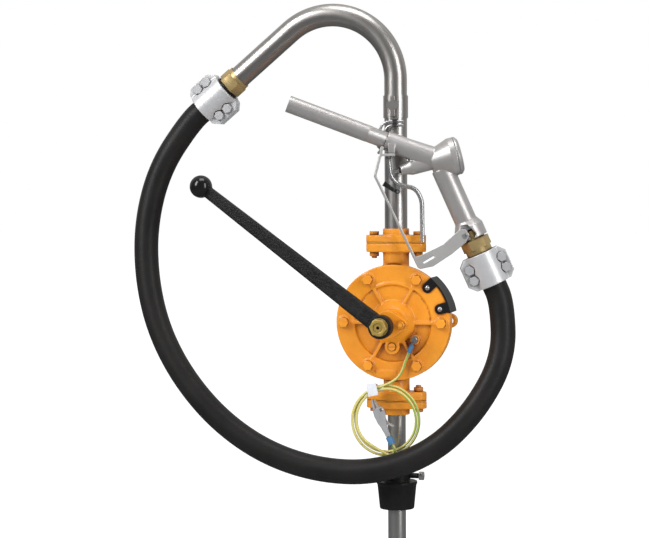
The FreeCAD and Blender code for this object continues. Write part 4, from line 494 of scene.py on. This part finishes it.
def mix(tree, factor, first, second):
    """Colour between two, where each is four numbers or a socket."""
    node = tree.nodes.new("ShaderNodeMix")
    node.data_type = "RGBA"
    tree.links.new(factor, node.inputs["Factor"])
    for label, value in (("A", first), ("B", second)):
        socket = [s for s in node.inputs if s.name == label and s.type == "RGBA"][0]
        if isinstance(value, (tuple, list)):
            socket.default_value = value
        else:
            tree.links.new(value, socket)
    return [s for s in node.outputs if s.type == "RGBA"][0]


def rgb(*values):
    """Opaque colour from red, green and blue."""
    return (*values, 1.0)


def finish(name, main, drift, gloss, grain_scale, drift_scale, bump, metal=0.0, coat=0.0, stretch=(1, 1, 1),
           hollow_shade=None, edge=None, reach=0.0015, shine=0.5, hollow_shade_full=1.0):
    """Material from two colours, a range of roughness, a grain and, if named, an edge colour and a painted
    shade colour for hollows.
    """
    material = bpy.data.materials.new(name)
    material.use_nodes = True
    tree = material.node_tree
    shader = tree.nodes["Principled BSDF"]
    shader.inputs["Metallic"].default_value = metal
    shader.inputs["Specular IOR Level"].default_value = shine
    shader.inputs["Coat Weight"].default_value = coat
    shader.inputs["Coat Roughness"].default_value = COAT_ROUGHNESS
    place = tree.nodes.new("ShaderNodeTexCoord")
    mapping = tree.nodes.new("ShaderNodeMapping")
    mapping.inputs["Scale"].default_value = stretch
    tree.links.new(place.outputs["Object"], mapping.inputs["Vector"])
    pattern = tree.nodes.new("ShaderNodeGroup")
    pattern.node_tree = grain_group
    pattern.inputs["Grain Scale"].default_value = grain_scale
    pattern.inputs["Drift Scale"].default_value = drift_scale
    tree.links.new(mapping.outputs["Vector"], pattern.inputs["Place"])
    colour = mix(tree, pattern.outputs["Drift"], main, drift)
    if hollow_shade or edge:
        edge_and_shade = tree.nodes.new("ShaderNodeGroup")
        edge_and_shade.node_tree = edge_and_shade_group
        edge_and_shade.inputs["Reach"].default_value = reach
        if edge:
            colour = mix(tree, edge_and_shade.outputs["Edge"], colour, edge)
        # Hollows get a darker colour as painted shade.
        if hollow_shade:
            colour = mix(tree, remap(tree, edge_and_shade.outputs["Hollow Shade"], 0.0, hollow_shade_full), colour, hollow_shade)
    tree.links.new(colour, shader.inputs["Base Color"])
    tree.links.new(remap(tree, pattern.outputs["Grain"], 0.0, 1.0, *gloss), shader.inputs["Roughness"])
    if bump:
        relief = tree.nodes.new("ShaderNodeBump")
        relief.inputs["Distance"].default_value = bump
        tree.links.new(pattern.outputs["Grain"], relief.inputs["Height"])
        tree.links.new(relief.outputs["Normal"], shader.inputs["Normal"])
    return material


print("finish maker ready")

# %% [markdown]
# ## The pump's paint
#
# The castings, the flanges and their bolts are sprayed together in one orange enamel. Sand
# casting leaves a slightly lumpy skin below the paint, so the bump is broad and low and the gloss
# is that of satin enamel. The hollows are painted a deeper, redder orange as painted shade, and
# the lighter edges are partly thinner paint and partly a painted highlight on the ribs. Spanners
# have rubbed the flange bolts since, so theirs is a darker, worn enamel with painted shade in its
# hollows.

# %% Orange enamel
# The enamel's edge colour is partly thinner paint and partly a painted highlight along the ribs.
enamel = finish("orange_enamel", rgb(0.90, 0.35, 0.020), rgb(0.80, 0.27, 0.013), gloss=(0.26, 0.40),
                grain_scale=300, drift_scale=30, bump=0.0003, coat=0.35, hollow_shade=rgb(0.34, 0.075, 0.004),
                edge=rgb(0.97, 0.50, 0.09), reach=0.0016, hollow_shade_full=0.55)

bolt_enamel = finish("worn_bolt_enamel", rgb(0.50, 0.17, 0.014), rgb(0.74, 0.27, 0.02), gloss=(0.34, 0.5),
                     grain_scale=300, drift_scale=90, bump=0.0001, hollow_shade=rgb(0.10, 0.03, 0.006),
                     edge=rgb(0.30, 0.13, 0.03), reach=0.001)

# %% [markdown]
# ## Metals
#
# The gooseneck is drawn stainless steel and the suction tube is zinc plated. Both are even and
# need no relief. The nozzle is cast aluminium with a matt, pale grey skin; the clamps are
# brighter and finer, since the fine blasted surface scatters the light like white paint. The
# hose tails are brass bar turned on a lathe, and the lever's nut is zinc plated and yellow
# chromated. Screws, the trigger and the nozzle's hook are bright zinc, the spring clip and the
# bolts of the hose clamps a duller one, and a few pieces are blackened.

# %% Steel
tube_steel = finish("stainless_tube", rgb(0.58, 0.56, 0.54), rgb(0.50, 0.48, 0.46), gloss=(0.33, 0.38),
                    grain_scale=60, drift_scale=9, bump=0, metal=1.0, stretch=(1, 1, 0.1))
suction_steel = finish("suction_tube_zinc", rgb(0.82, 0.81, 0.80), rgb(0.72, 0.71, 0.70),
                       gloss=(0.30, 0.36), grain_scale=60, drift_scale=9, bump=0, metal=1.0,
                       stretch=(1, 1, 0.1))
bright_steel = finish("zinc_plated_steel", rgb(0.62, 0.62, 0.63), rgb(0.50, 0.50, 0.51),
                      gloss=(0.24, 0.32), grain_scale=400, drift_scale=60, bump=0, metal=0.85)
dark_steel = finish("blackened_steel", rgb(0.030, 0.029, 0.028), rgb(0.016, 0.015, 0.015),
                    gloss=(0.35, 0.5), grain_scale=700, drift_scale=60, bump=0.00012, metal=0.4,
                    edge=rgb(0.20, 0.20, 0.20))

# %% Aluminium
# The hollow colours of the aluminium finishes are painted shade.
cast_aluminium = finish("cast_aluminium", rgb(0.62, 0.60, 0.59), rgb(0.53, 0.51, 0.50),
                        gloss=(0.36, 0.46), grain_scale=500, drift_scale=22, bump=0.00005, metal=0.75,
                        hollow_shade=rgb(0.10, 0.09, 0.085), edge=rgb(0.60, 0.58, 0.56))
clamp_aluminium = finish("clamp_aluminium", rgb(0.72, 0.72, 0.73), rgb(0.64, 0.64, 0.65),
                         gloss=(0.34, 0.48), grain_scale=500, drift_scale=40, bump=0.00004, metal=0.5,
                         hollow_shade=rgb(0.16, 0.16, 0.165), edge=rgb(0.90, 0.90, 0.91))
plate_aluminium = finish("rolled_aluminium", rgb(0.64, 0.63, 0.62), rgb(0.56, 0.55, 0.54),
                         gloss=(0.32, 0.40), grain_scale=400, drift_scale=25, bump=0, metal=0.6,
                         edge=rgb(0.72, 0.71, 0.70), reach=0.0012)

# %% Dull zinc, painted bore shade, brass and yellow zinc
clip_zinc = finish("clip_zinc", rgb(0.66, 0.66, 0.67), rgb(0.54, 0.54, 0.55), gloss=(0.30, 0.42),
                   grain_scale=500, drift_scale=60, bump=0, metal=0.55, edge=rgb(0.16, 0.16, 0.16),
                   reach=0.0008)
# The bore's finish is painted shade for the inside of the spout.
bore_shade = finish("bore_shade", rgb(0.030, 0.029, 0.028), rgb(0.045, 0.043, 0.042), gloss=(0.5, 0.6),
                    grain_scale=400, drift_scale=60, bump=0, shine=0.2)
# The hollow colours of the brass and the yellow zinc are painted shade.
brass = finish("turned_brass", rgb(0.62, 0.46, 0.21), rgb(0.52, 0.38, 0.17), gloss=(0.36, 0.46),
               grain_scale=400, drift_scale=50, bump=0, metal=0.75, hollow_shade=rgb(0.10, 0.055, 0.015),
               edge=rgb(0.74, 0.58, 0.30), reach=0.001)
yellow_zinc = finish("yellow_chromate", rgb(0.80, 0.56, 0.14), rgb(0.68, 0.46, 0.12), gloss=(0.28, 0.4),
                     grain_scale=400, drift_scale=70, bump=0, metal=0.7, hollow_shade=rgb(0.12, 0.035, 0.01),
                     edge=rgb(0.88, 0.74, 0.34), reach=0.001)

# %% [markdown]
# ## Black parts, rubber and plastics
#
# The lever is a rough black casting whose skin shows as tiny lumps, and only its ball is
# polished. The bung and the rim guard are moulded plastic, and the seals are rubber.

# %% Black finishes
lever_black = finish("lever_black", rgb(0.007, 0.007, 0.0075), rgb(0.016, 0.0155, 0.0155),
                     gloss=(0.30, 0.55), grain_scale=420, drift_scale=90, bump=0.0011,
                     edge=rgb(0.03, 0.03, 0.03), shine=0.3)
ball_black = finish("ball_black", rgb(0.006, 0.006, 0.0065), rgb(0.009, 0.009, 0.0095),
                    gloss=(0.14, 0.20), grain_scale=420, drift_scale=90, bump=0)
bung_black = finish("bung_plastic", rgb(0.008, 0.008, 0.0085), rgb(0.013, 0.013, 0.0135),
                    gloss=(0.36, 0.48), grain_scale=700, drift_scale=40, bump=0.00003,
                    edge=rgb(0.035, 0.035, 0.035), shine=0.2)
seal_black = finish("seal_rubber", rgb(0.02, 0.02, 0.02), rgb(0.03, 0.03, 0.03), gloss=(0.6, 0.75),
                    grain_scale=900, drift_scale=40, bump=0.00005)

# %% Small parts
blue_sleeve = finish("blue_sleeve", rgb(0.045, 0.16, 0.33), rgb(0.075, 0.22, 0.40), gloss=(0.35, 0.5),
                     grain_scale=900, drift_scale=120, bump=0.00004)
white_tag = finish("white_tag", rgb(0.78, 0.79, 0.83), rgb(0.70, 0.72, 0.77), gloss=(0.3, 0.45),
                   grain_scale=700, drift_scale=60, bump=0.00003)
packing_cord = finish("packing_braid", rgb(0.33, 0.29, 0.22), rgb(0.2, 0.17, 0.12), gloss=(0.6, 0.8),
                      grain_scale=600, drift_scale=150, bump=0.0003)
print("finishes:", len(bpy.data.materials))

# %% [markdown]
# ## Hose rubber and cable sheath
#
# The hose is matt black rubber, a little brown, with a faint grain. The cable has the yellow and
# green stripes of an earth wire, which turn slowly round it. Such a stripe has to follow the
# piece and not the room, so the sheath reads the UV map that a curve with a round section
# carries: one axis runs along the cord and the other round it.

# %% Hose rubber
hose_rubber = finish("hose_rubber", rgb(0.011, 0.0103, 0.010), rgb(0.019, 0.0175, 0.0168),
                     gloss=(0.38, 0.50), grain_scale=300, drift_scale=14, bump=0.00012, shine=0.22)
hose.data.materials.append(hose_rubber)
print("hose finish:", hose_rubber.name)

# %% Cable sheath
STRIPE_TURNS = 3.0
GREEN_FROM = 0.74
GREEN_FULL = 0.80
SHEATH_GLOSS = (0.28, 0.4)
sheath = bpy.data.materials.new("earth_cable_sheath")
sheath.use_nodes = True
sheath_tree = sheath.node_tree
sheath_shader = sheath_tree.nodes["Principled BSDF"]
sheath_place = sheath_tree.nodes.new("ShaderNodeTexCoord")
sheath_pattern = sheath_tree.nodes.new("ShaderNodeGroup")
sheath_pattern.node_tree = grain_group
sheath_pattern.inputs["Grain Scale"].default_value = 700
sheath_pattern.inputs["Drift Scale"].default_value = 22
sheath_tree.links.new(sheath_place.outputs["Object"], sheath_pattern.inputs["Place"])
sheath_yellow = mix(sheath_tree, sheath_pattern.outputs["Drift"], rgb(0.62, 0.53, 0.13),
                    rgb(0.74, 0.67, 0.27))
sheath_split = sheath_tree.nodes.new("ShaderNodeSeparateXYZ")
sheath_tree.links.new(sheath_place.outputs["UV"], sheath_split.inputs[0])
sheath_turn = sheath_tree.nodes.new("ShaderNodeMath")
sheath_turn.operation = "MULTIPLY_ADD"
sheath_turn.inputs[1].default_value = STRIPE_TURNS
sheath_tree.links.new(sheath_split.outputs["X"], sheath_turn.inputs[0])
sheath_tree.links.new(sheath_split.outputs["Y"], sheath_turn.inputs[2])
sheath_wave = sheath_tree.nodes.new("ShaderNodeMath")
sheath_wave.operation = "FRACT"
sheath_tree.links.new(sheath_turn.outputs[0], sheath_wave.inputs[0])
sheath_stripe = remap(sheath_tree, sheath_wave.outputs[0], GREEN_FROM, GREEN_FULL)
sheath_colour = mix(sheath_tree, sheath_stripe, sheath_yellow, rgb(0.27, 0.40, 0.075))
sheath_tree.links.new(sheath_colour, sheath_shader.inputs["Base Color"])
sheath_tree.links.new(remap(sheath_tree, sheath_pattern.outputs["Grain"], 0, 1, *SHEATH_GLOSS),
                      sheath_shader.inputs["Roughness"])
sheath_shader.inputs["Coat Weight"].default_value = 0.2
cable.data.materials.append(sheath)
print("cable finish:", sheath.name)

# %% [markdown]
# ## Rounded castings
#
# Solids have knife-sharp edges and a sand casting has none: the sand can't hold a sharp corner, so
# every rib runs into its plate with a fillet and every rim is worn round. To get that skin, the
# solid's loose triangles are merged into one closed form, wrapped again in an even net of small
# faces, and the net is relaxed a few times. The size of the net sets how small a detail
# survives, and the number of relaxing rounds sets the fillets. Moulded plastic and the strip of
# the trigger guard have soft edges as well, so they are made the same way.

# %% A relaxed skin over a solid
MERGE_WITHIN = 1e-5
FLAT_WITHIN = math.radians(0.5)


def merged_form(name):
    """The solid's mesh as one closed form whose flat areas are single faces."""
    form = bmesh.new()
    form.from_mesh(nodes[name].data)
    form.transform(nodes[name].matrix_world)
    bmesh.ops.remove_doubles(form, verts=form.verts, dist=MERGE_WITHIN)
    bmesh.ops.dissolve_limit(form, verts=form.verts, edges=form.edges, angle_limit=FLAT_WITHIN)
    bmesh.ops.recalc_face_normals(form, faces=form.faces)
    return form


def new_piece(name, form, node, body, slot, *materials):
    """Object from a form, which stands for one solid and rides on its body."""
    mesh = bpy.data.meshes.new(name)
    form.to_mesh(mesh)
    form.free()
    for material in materials:
        mesh.materials.append(material)
    thing = bpy.data.objects.new(name, mesh)
    bpy.context.scene.collection.objects.link(thing)
    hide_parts(node)
    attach(thing, body)
    return thing


def relaxed(node, net, rounds, body, slot, *materials):
    """Casting with rounded edges, wrapped in a net of the given size in millimetres."""
    thing = new_piece("cast_" + node, merged_form(node), node, body, slot, *materials)
    skin = thing.modifiers.new("net", "REMESH")
    skin.mode = "VOXEL"
    skin.voxel_size = net * MM
    skin.use_smooth_shade = True
    relax = thing.modifiers.new("relax", "SMOOTH")
    relax.factor = 0.5
    relax.iterations = rounds
    return thing


castings = [
    relaxed("pump_casing", 1.3, 8, "pump", "pump_orange", enamel),
    relaxed("front_cover", 0.95, 7, "pump", "pump_orange", enamel),
    relaxed("upper_flange", 0.9, 8, "pump", "pump_orange", enamel),
    relaxed("lower_flange", 0.9, 8, "pump", "pump_orange", enamel),
    relaxed("gland_follower", 0.6, 5, "pump", "pump_orange", enamel),
    relaxed("nozzle_body", 0.8, 7, "pump", "aluminium", cast_aluminium),
    relaxed("valve_cap", 0.7, 6, "pump", "aluminium", cast_aluminium),
    relaxed("bung_adapter", 1.0, 5, "bung", "black_plastic", bung_black),
    relaxed("trigger_guard", 0.55, 4, "pump", "aluminium", plate_aluminium),
    relaxed("rim_guard", 0.7, 5, "pump", "black_plastic", bung_black),
    relaxed("pump_lever", 0.8, 8, "lever_and_wing", "lever_black", lever_black),
]
castings += [relaxed(half, 0.6, 5, "pump", "clamp_aluminium", clamp_aluminium)
             for half in ("upper_clamp_front", "upper_clamp_rear", "nozzle_clamp_front", "nozzle_clamp_rear")]
print("relaxed castings:", len(castings))

# %% [markdown]
# ## Machined edges
#
# Bolts, nuts and turned pieces keep crisp edges, but never perfectly sharp ones: a narrow bevel
# catches the light along each edge and makes hexagons read as hexagons.

# %% Bevelled pieces
SHARP_ABOVE = math.radians(25.0)
CRISP_ABOVE = math.radians(27.0)


def bevelled(node, width, body, slot, *materials):
    """Machined piece whose sharp edges get a bevel of the given width in millimetres."""
    form = merged_form(node)
    sharp = [edge for edge in form.edges if len(edge.link_faces) == 2
             and edge.calc_face_angle(0.0) > SHARP_ABOVE]
    bmesh.ops.bevel(form, geom=sharp, offset=width * MM, offset_type="OFFSET", segments=2, profile=0.5,
                    affect="EDGES", clamp_overlap=True, material=-1)
    for face in form.faces:
        face.smooth = True
    thing = new_piece("edged_" + node, form, node, body, slot, *materials)
    thing.data.set_sharp_from_angle(angle=CRISP_ABOVE)
    return thing


machined = [
    bevelled("cover_bolts", 0.5, "pump", "pump_orange", enamel),
    bevelled("flange_fasteners", 0.5, "pump", "pump_orange", bolt_enamel),
    bevelled("gland_fasteners", 0.35, "pump", "pump_orange", enamel),
    bevelled("lever_nut", 0.5, "lever_and_wing", "zinc_yellow", yellow_zinc),
    bevelled("small_screws", 0.25, "pump", "steel", bright_steel),
    bevelled("hose_clamp_bolts", 0.4, "pump", "steel", clip_zinc),
    bevelled("upper_hose_tail", 0.5, "pump", "cast_brass", brass),
    bevelled("nozzle_hose_tail", 0.5, "pump", "cast_brass", brass),
    bevelled("bung_clamp_screw", 0.5, "clamp_screw", "steel", bright_steel, dark_steel),
    bevelled("nozzle_spout", 0.3, "pump", "aluminium", cast_aluminium, bore_shade),
]
print("bevelled pieces:", len(machined))
for thing in machined:
    print("   ", thing.name, len(thing.data.polygons))

# %% [markdown]
# Two of these pieces carry two finishes. The spout's bore gets a dark finish as painted shade,
# since little light gets into it: a face belongs to the bore if a ray along its normal meets the
# spout's other wall. The clamp screw is blackened up to its bright knob.

# %% Painted shade in the bore, and the dark shank
RAY_LIFT = 0.2 * MM
BORE_ACROSS = 30.0 * MM
KNOB_FROM = 34.0 * MM
screw, spout = machined[-2:]
spout_form = bmesh.new()
spout_form.from_mesh(spout.data)
spout_tree = BVHTree.FromBMesh(spout_form)
for face in spout_form.faces:
    start = face.calc_center_median() + face.normal * RAY_LIFT
    if spout_tree.ray_cast(start, face.normal, BORE_ACROSS)[0] is not None:
        face.material_index = 1
spout_form.to_mesh(spout.data)
spout_form.free()
for face in screw.data.polygons:
    if face.center.x < KNOB_FROM:
        face.material_index = 1
print("bore faces:", sum(face.material_index for face in spout.data.polygons))

# %% [markdown]
# ## Clip plate and tag
#
# The spring clip's fixed side is a pressed plate with a round hole that covers both jaws from
# the front. The tag is a thick soft label, so its corners are well rounded.

# %% Clip plate
PLATE_FRONT = -56.2
PLATE_BACK = -54.8
HOLE_AT = (7.2, 18.5)
HOLE_RADIUS = 2.6
HOLE_SIDES = 20
PLATE_OUTLINE = ((-6.8, 15.0), (-6.2, 2.0), (-3.6, -9.0), (-3.4, -21.0), (3.2, -21.0), (4.6, -9.0),
                 (6.6, 0.0), (11.0, 14.0), (11.4, 20.0), (8.5, 23.5), (2.0, 24.5), (-4.5, 22.0))


def in_clip(across, along, depth):
    """Place of a point given from the clip's pivot, across and along the clip."""
    point = clip_pivot + clip_right * across - clip_down * along
    return at(point.x, depth, point.z)


plate_form = bmesh.new()
outline = [plate_form.verts.new(in_clip(across, along, PLATE_FRONT)) for across, along in PLATE_OUTLINE]
hole = [plate_form.verts.new(in_clip(HOLE_AT[0] + HOLE_RADIUS * math.cos(2 * math.pi * turn / HOLE_SIDES),
                                     HOLE_AT[1] + HOLE_RADIUS * math.sin(2 * math.pi * turn / HOLE_SIDES),
                                     PLATE_FRONT))
        for turn in range(HOLE_SIDES)]
edges = [plate_form.edges.new((loop[index - 1], loop[index]))
         for loop in (outline, hole) for index in range(len(loop))]
bmesh.ops.triangle_fill(plate_form, use_beauty=True, edges=edges)
made = bmesh.ops.extrude_face_region(plate_form, geom=list(plate_form.faces))["geom"]
bmesh.ops.translate(plate_form, verts=[item for item in made if isinstance(item, bmesh.types.BMVert)],
                    vec=Vector((0, PLATE_BACK - PLATE_FRONT, 0)) * MM)
bmesh.ops.recalc_face_normals(plate_form, faces=plate_form.faces)
fixed_form = merged_form("clip_fixed_jaw")
fixed_mesh = bpy.data.meshes.new("plate_part")
plate_form.to_mesh(fixed_mesh)
plate_form.free()
fixed_form.from_mesh(fixed_mesh)
bpy.data.meshes.remove(fixed_mesh)
clip_plate = new_piece("clip_fixed_side", fixed_form, "clip_fixed_jaw", "pump", "steel", clip_zinc)
print("clip faces:", len(clip_plate.data.polygons))

# %% Tag, and what goes with the cable
TAG_SHIFT = (0.8, -1.0, 3.0)
TAG_ROUND = 0.7
tag_form = merged_form("coil_tag")
bmesh.ops.translate(tag_form, verts=tag_form.verts, vec=Vector(TAG_SHIFT) * MM)
tag = new_piece("soft_tag", tag_form, "coil_tag", "pump", "tag_white", white_tag)
tag_round = tag.modifiers.new("round", "BEVEL")
tag_round.width = TAG_ROUND * MM
tag_round.segments = 3
tag_round.limit_method = "ANGLE"
for face in tag.data.polygons:
    face.use_smooth = True
print("tag at", tuple(round(v, 4) for v in tag.bound_box[0]))

# %% [markdown]
# ## The lever's ball and the gooseneck
#
# The ball at the lever's end is turned and polished, unlike the rough arm, so it gets its own
# smooth skin. The gooseneck is bent from one length of tube: a ring of points is drawn
# up the riser, spun round the bend's centre and drawn on along the tail, which keeps its
# reflections even all the way.

# %% Ball
BALL_RADIUS = 16.6 * MM
lever_form = merged_form("pump_lever")
shaft_place = at(0, 0, 0)
far_point = max((vert.co for vert in lever_form.verts),
                key=lambda co: (co.x - shaft_place.x) ** 2 + (co.z - shaft_place.z) ** 2)
lever_way = Vector((far_point.x - shaft_place.x, 0, far_point.z - shaft_place.z)).normalized()
ball_place = far_point - lever_way * BALL_RADIUS
lever_form.free()
ball_form = bmesh.new()
bmesh.ops.create_uvsphere(ball_form, u_segments=48, v_segments=32, radius=BALL_RADIUS)
bmesh.ops.translate(ball_form, verts=ball_form.verts, vec=ball_place)
for face in ball_form.faces:
    face.smooth = True
ball_mesh = bpy.data.meshes.new("lever_ball")
ball_form.to_mesh(ball_mesh)
ball_form.free()
ball_mesh.materials.append(ball_black)
ball = bpy.data.objects.new("lever_ball", ball_mesh)
bpy.context.scene.collection.objects.link(ball)
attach(ball, "lever_and_wing")
print("ball at", tuple(round(v, 4) for v in ball_place))

# %% Gooseneck
PIPE_OUTER = 16.85
PIPE_WALL = 2.6
PIPE_START = 121.0
RING_POINTS = 64
BEND_STEPS = 56
PIPE_CRISP_ABOVE = math.radians(40.0)


def ring(form, radius, height):
    """Closed ring of points about the riser's axis, at a height above the shaft."""
    made = bmesh.ops.create_circle(form, cap_ends=False, segments=RING_POINTS, radius=radius * MM)
    bmesh.ops.translate(form, verts=made["verts"], vec=at(0, 0, height))
    return list({edge for vert in made["verts"] for edge in vert.link_edges})


def drawn(form, edges, shift):
    """Extrude a ring along a straight and return the new ring's edges."""
    made = bmesh.ops.extrude_edge_only(form, edges=edges)["geom"]
    verts = {item for item in made if isinstance(item, bmesh.types.BMVert)}
    bmesh.ops.translate(form, verts=list(verts), vec=shift)
    return [item for item in made if isinstance(item, bmesh.types.BMEdge) and verts.issuperset(item.verts)]


pipe_form = bmesh.new()
pipe_ends = []
for radius in (PIPE_OUTER, PIPE_OUTER - PIPE_WALL):
    start_ring = ring(pipe_form, radius, PIPE_START)
    top_ring = drawn(pipe_form, start_ring, Vector((0, 0, PIPE_RISE - PIPE_START)) * MM)
    spun = bmesh.ops.spin(pipe_form, geom=top_ring, cent=at(-PIPE_BEND_RADIUS, 0, PIPE_RISE), axis=(0, -1, 0),
                          angle=PIPE_BEND, steps=BEND_STEPS, use_duplicate=False)["geom_last"]
    last_ring = drawn(pipe_form, [item for item in spun if isinstance(item, bmesh.types.BMEdge)],
                      outlet_way * PIPE_TAIL * MM)
    pipe_ends.append((start_ring, last_ring))
for outer_end, inner_end in zip(*pipe_ends):
    bmesh.ops.bridge_loops(pipe_form, edges=outer_end + inner_end)
bmesh.ops.recalc_face_normals(pipe_form, faces=pipe_form.faces)
for face in pipe_form.faces:
    face.smooth = True
pipe = new_piece("gooseneck", pipe_form, "discharge_pipe", "pump", "stainless", tube_steel)
pipe.data.set_sharp_from_angle(angle=PIPE_CRISP_ABOVE)
print("gooseneck faces:", len(pipe.data.polygons))

# %% [markdown]
# ## Finishes on the solids
#
# The pieces that stay plain solids get their finish here. Where a dressed piece stands for a
# solid, the solid gets that piece's main finish as well, so that it still looks right if the
# dressed piece is ever taken away. Only the solids of the hose and the cable go without. What
# can't be seen from outside is brass, steel, rubber or packing.

# %% Finishes on the solids
SOLID_FINISHES = {
    enamel: ("pump_casing", "front_cover", "cover_bolts", "cover_plug", "gland_follower", "gland_fasteners",
             "upper_flange", "lower_flange", "flange_gaskets", "cover_gasket"),
    bolt_enamel: ("flange_fasteners",),
    tube_steel: ("discharge_pipe", "holder_clamp"),
    suction_steel: ("suction_tube",),
    bright_steel: ("earth_terminal", "small_screws", "hinge_pins", "discharge_flap_pins", "valve_spring",
                   "valve_stem", "trigger", "latch_pin", "nozzle_hook", "bung_clamp_screw"),
    clip_zinc: ("clip_fixed_jaw", "clip_moving_jaw", "hose_clamp_bolts"),
    dark_steel: ("holder_block", "trigger_latch"),
    cast_aluminium: ("nozzle_body", "nozzle_spout", "valve_cap"),
    clamp_aluminium: ("upper_clamp_front", "upper_clamp_rear", "nozzle_clamp_front", "nozzle_clamp_rear"),
    plate_aluminium: ("trigger_guard",),
    brass: ("upper_hose_tail", "nozzle_hose_tail", "shaft_bushes", "wing_rotor", "valve_bridge",
            "discharge_flap_left", "discharge_flap_right", "suction_flap_left", "suction_flap_right"),
    yellow_zinc: ("lever_nut", "pump_shaft"),
    lever_black: ("pump_lever",),
    bung_black: ("bung_adapter", "rim_guard"),
    seal_black: ("bung_seal", "stem_seal"),
    blue_sleeve: ("crimp_sleeves",),
    white_tag: ("coil_tag",),
    packing_cord: ("gland_packing",),
}
for material, members in SOLID_FINISHES.items():
    for member in members:
        mesh = nodes[member].data
        mesh.materials.clear()
        mesh.materials.append(material)
print("solids with a finish:", sum(len(members) for members in SOLID_FINISHES.values()))

# %% [markdown]
# ## Finish
#
# The size of the solids is printed.

# %% Size of the solids
print("solids", cad_box)
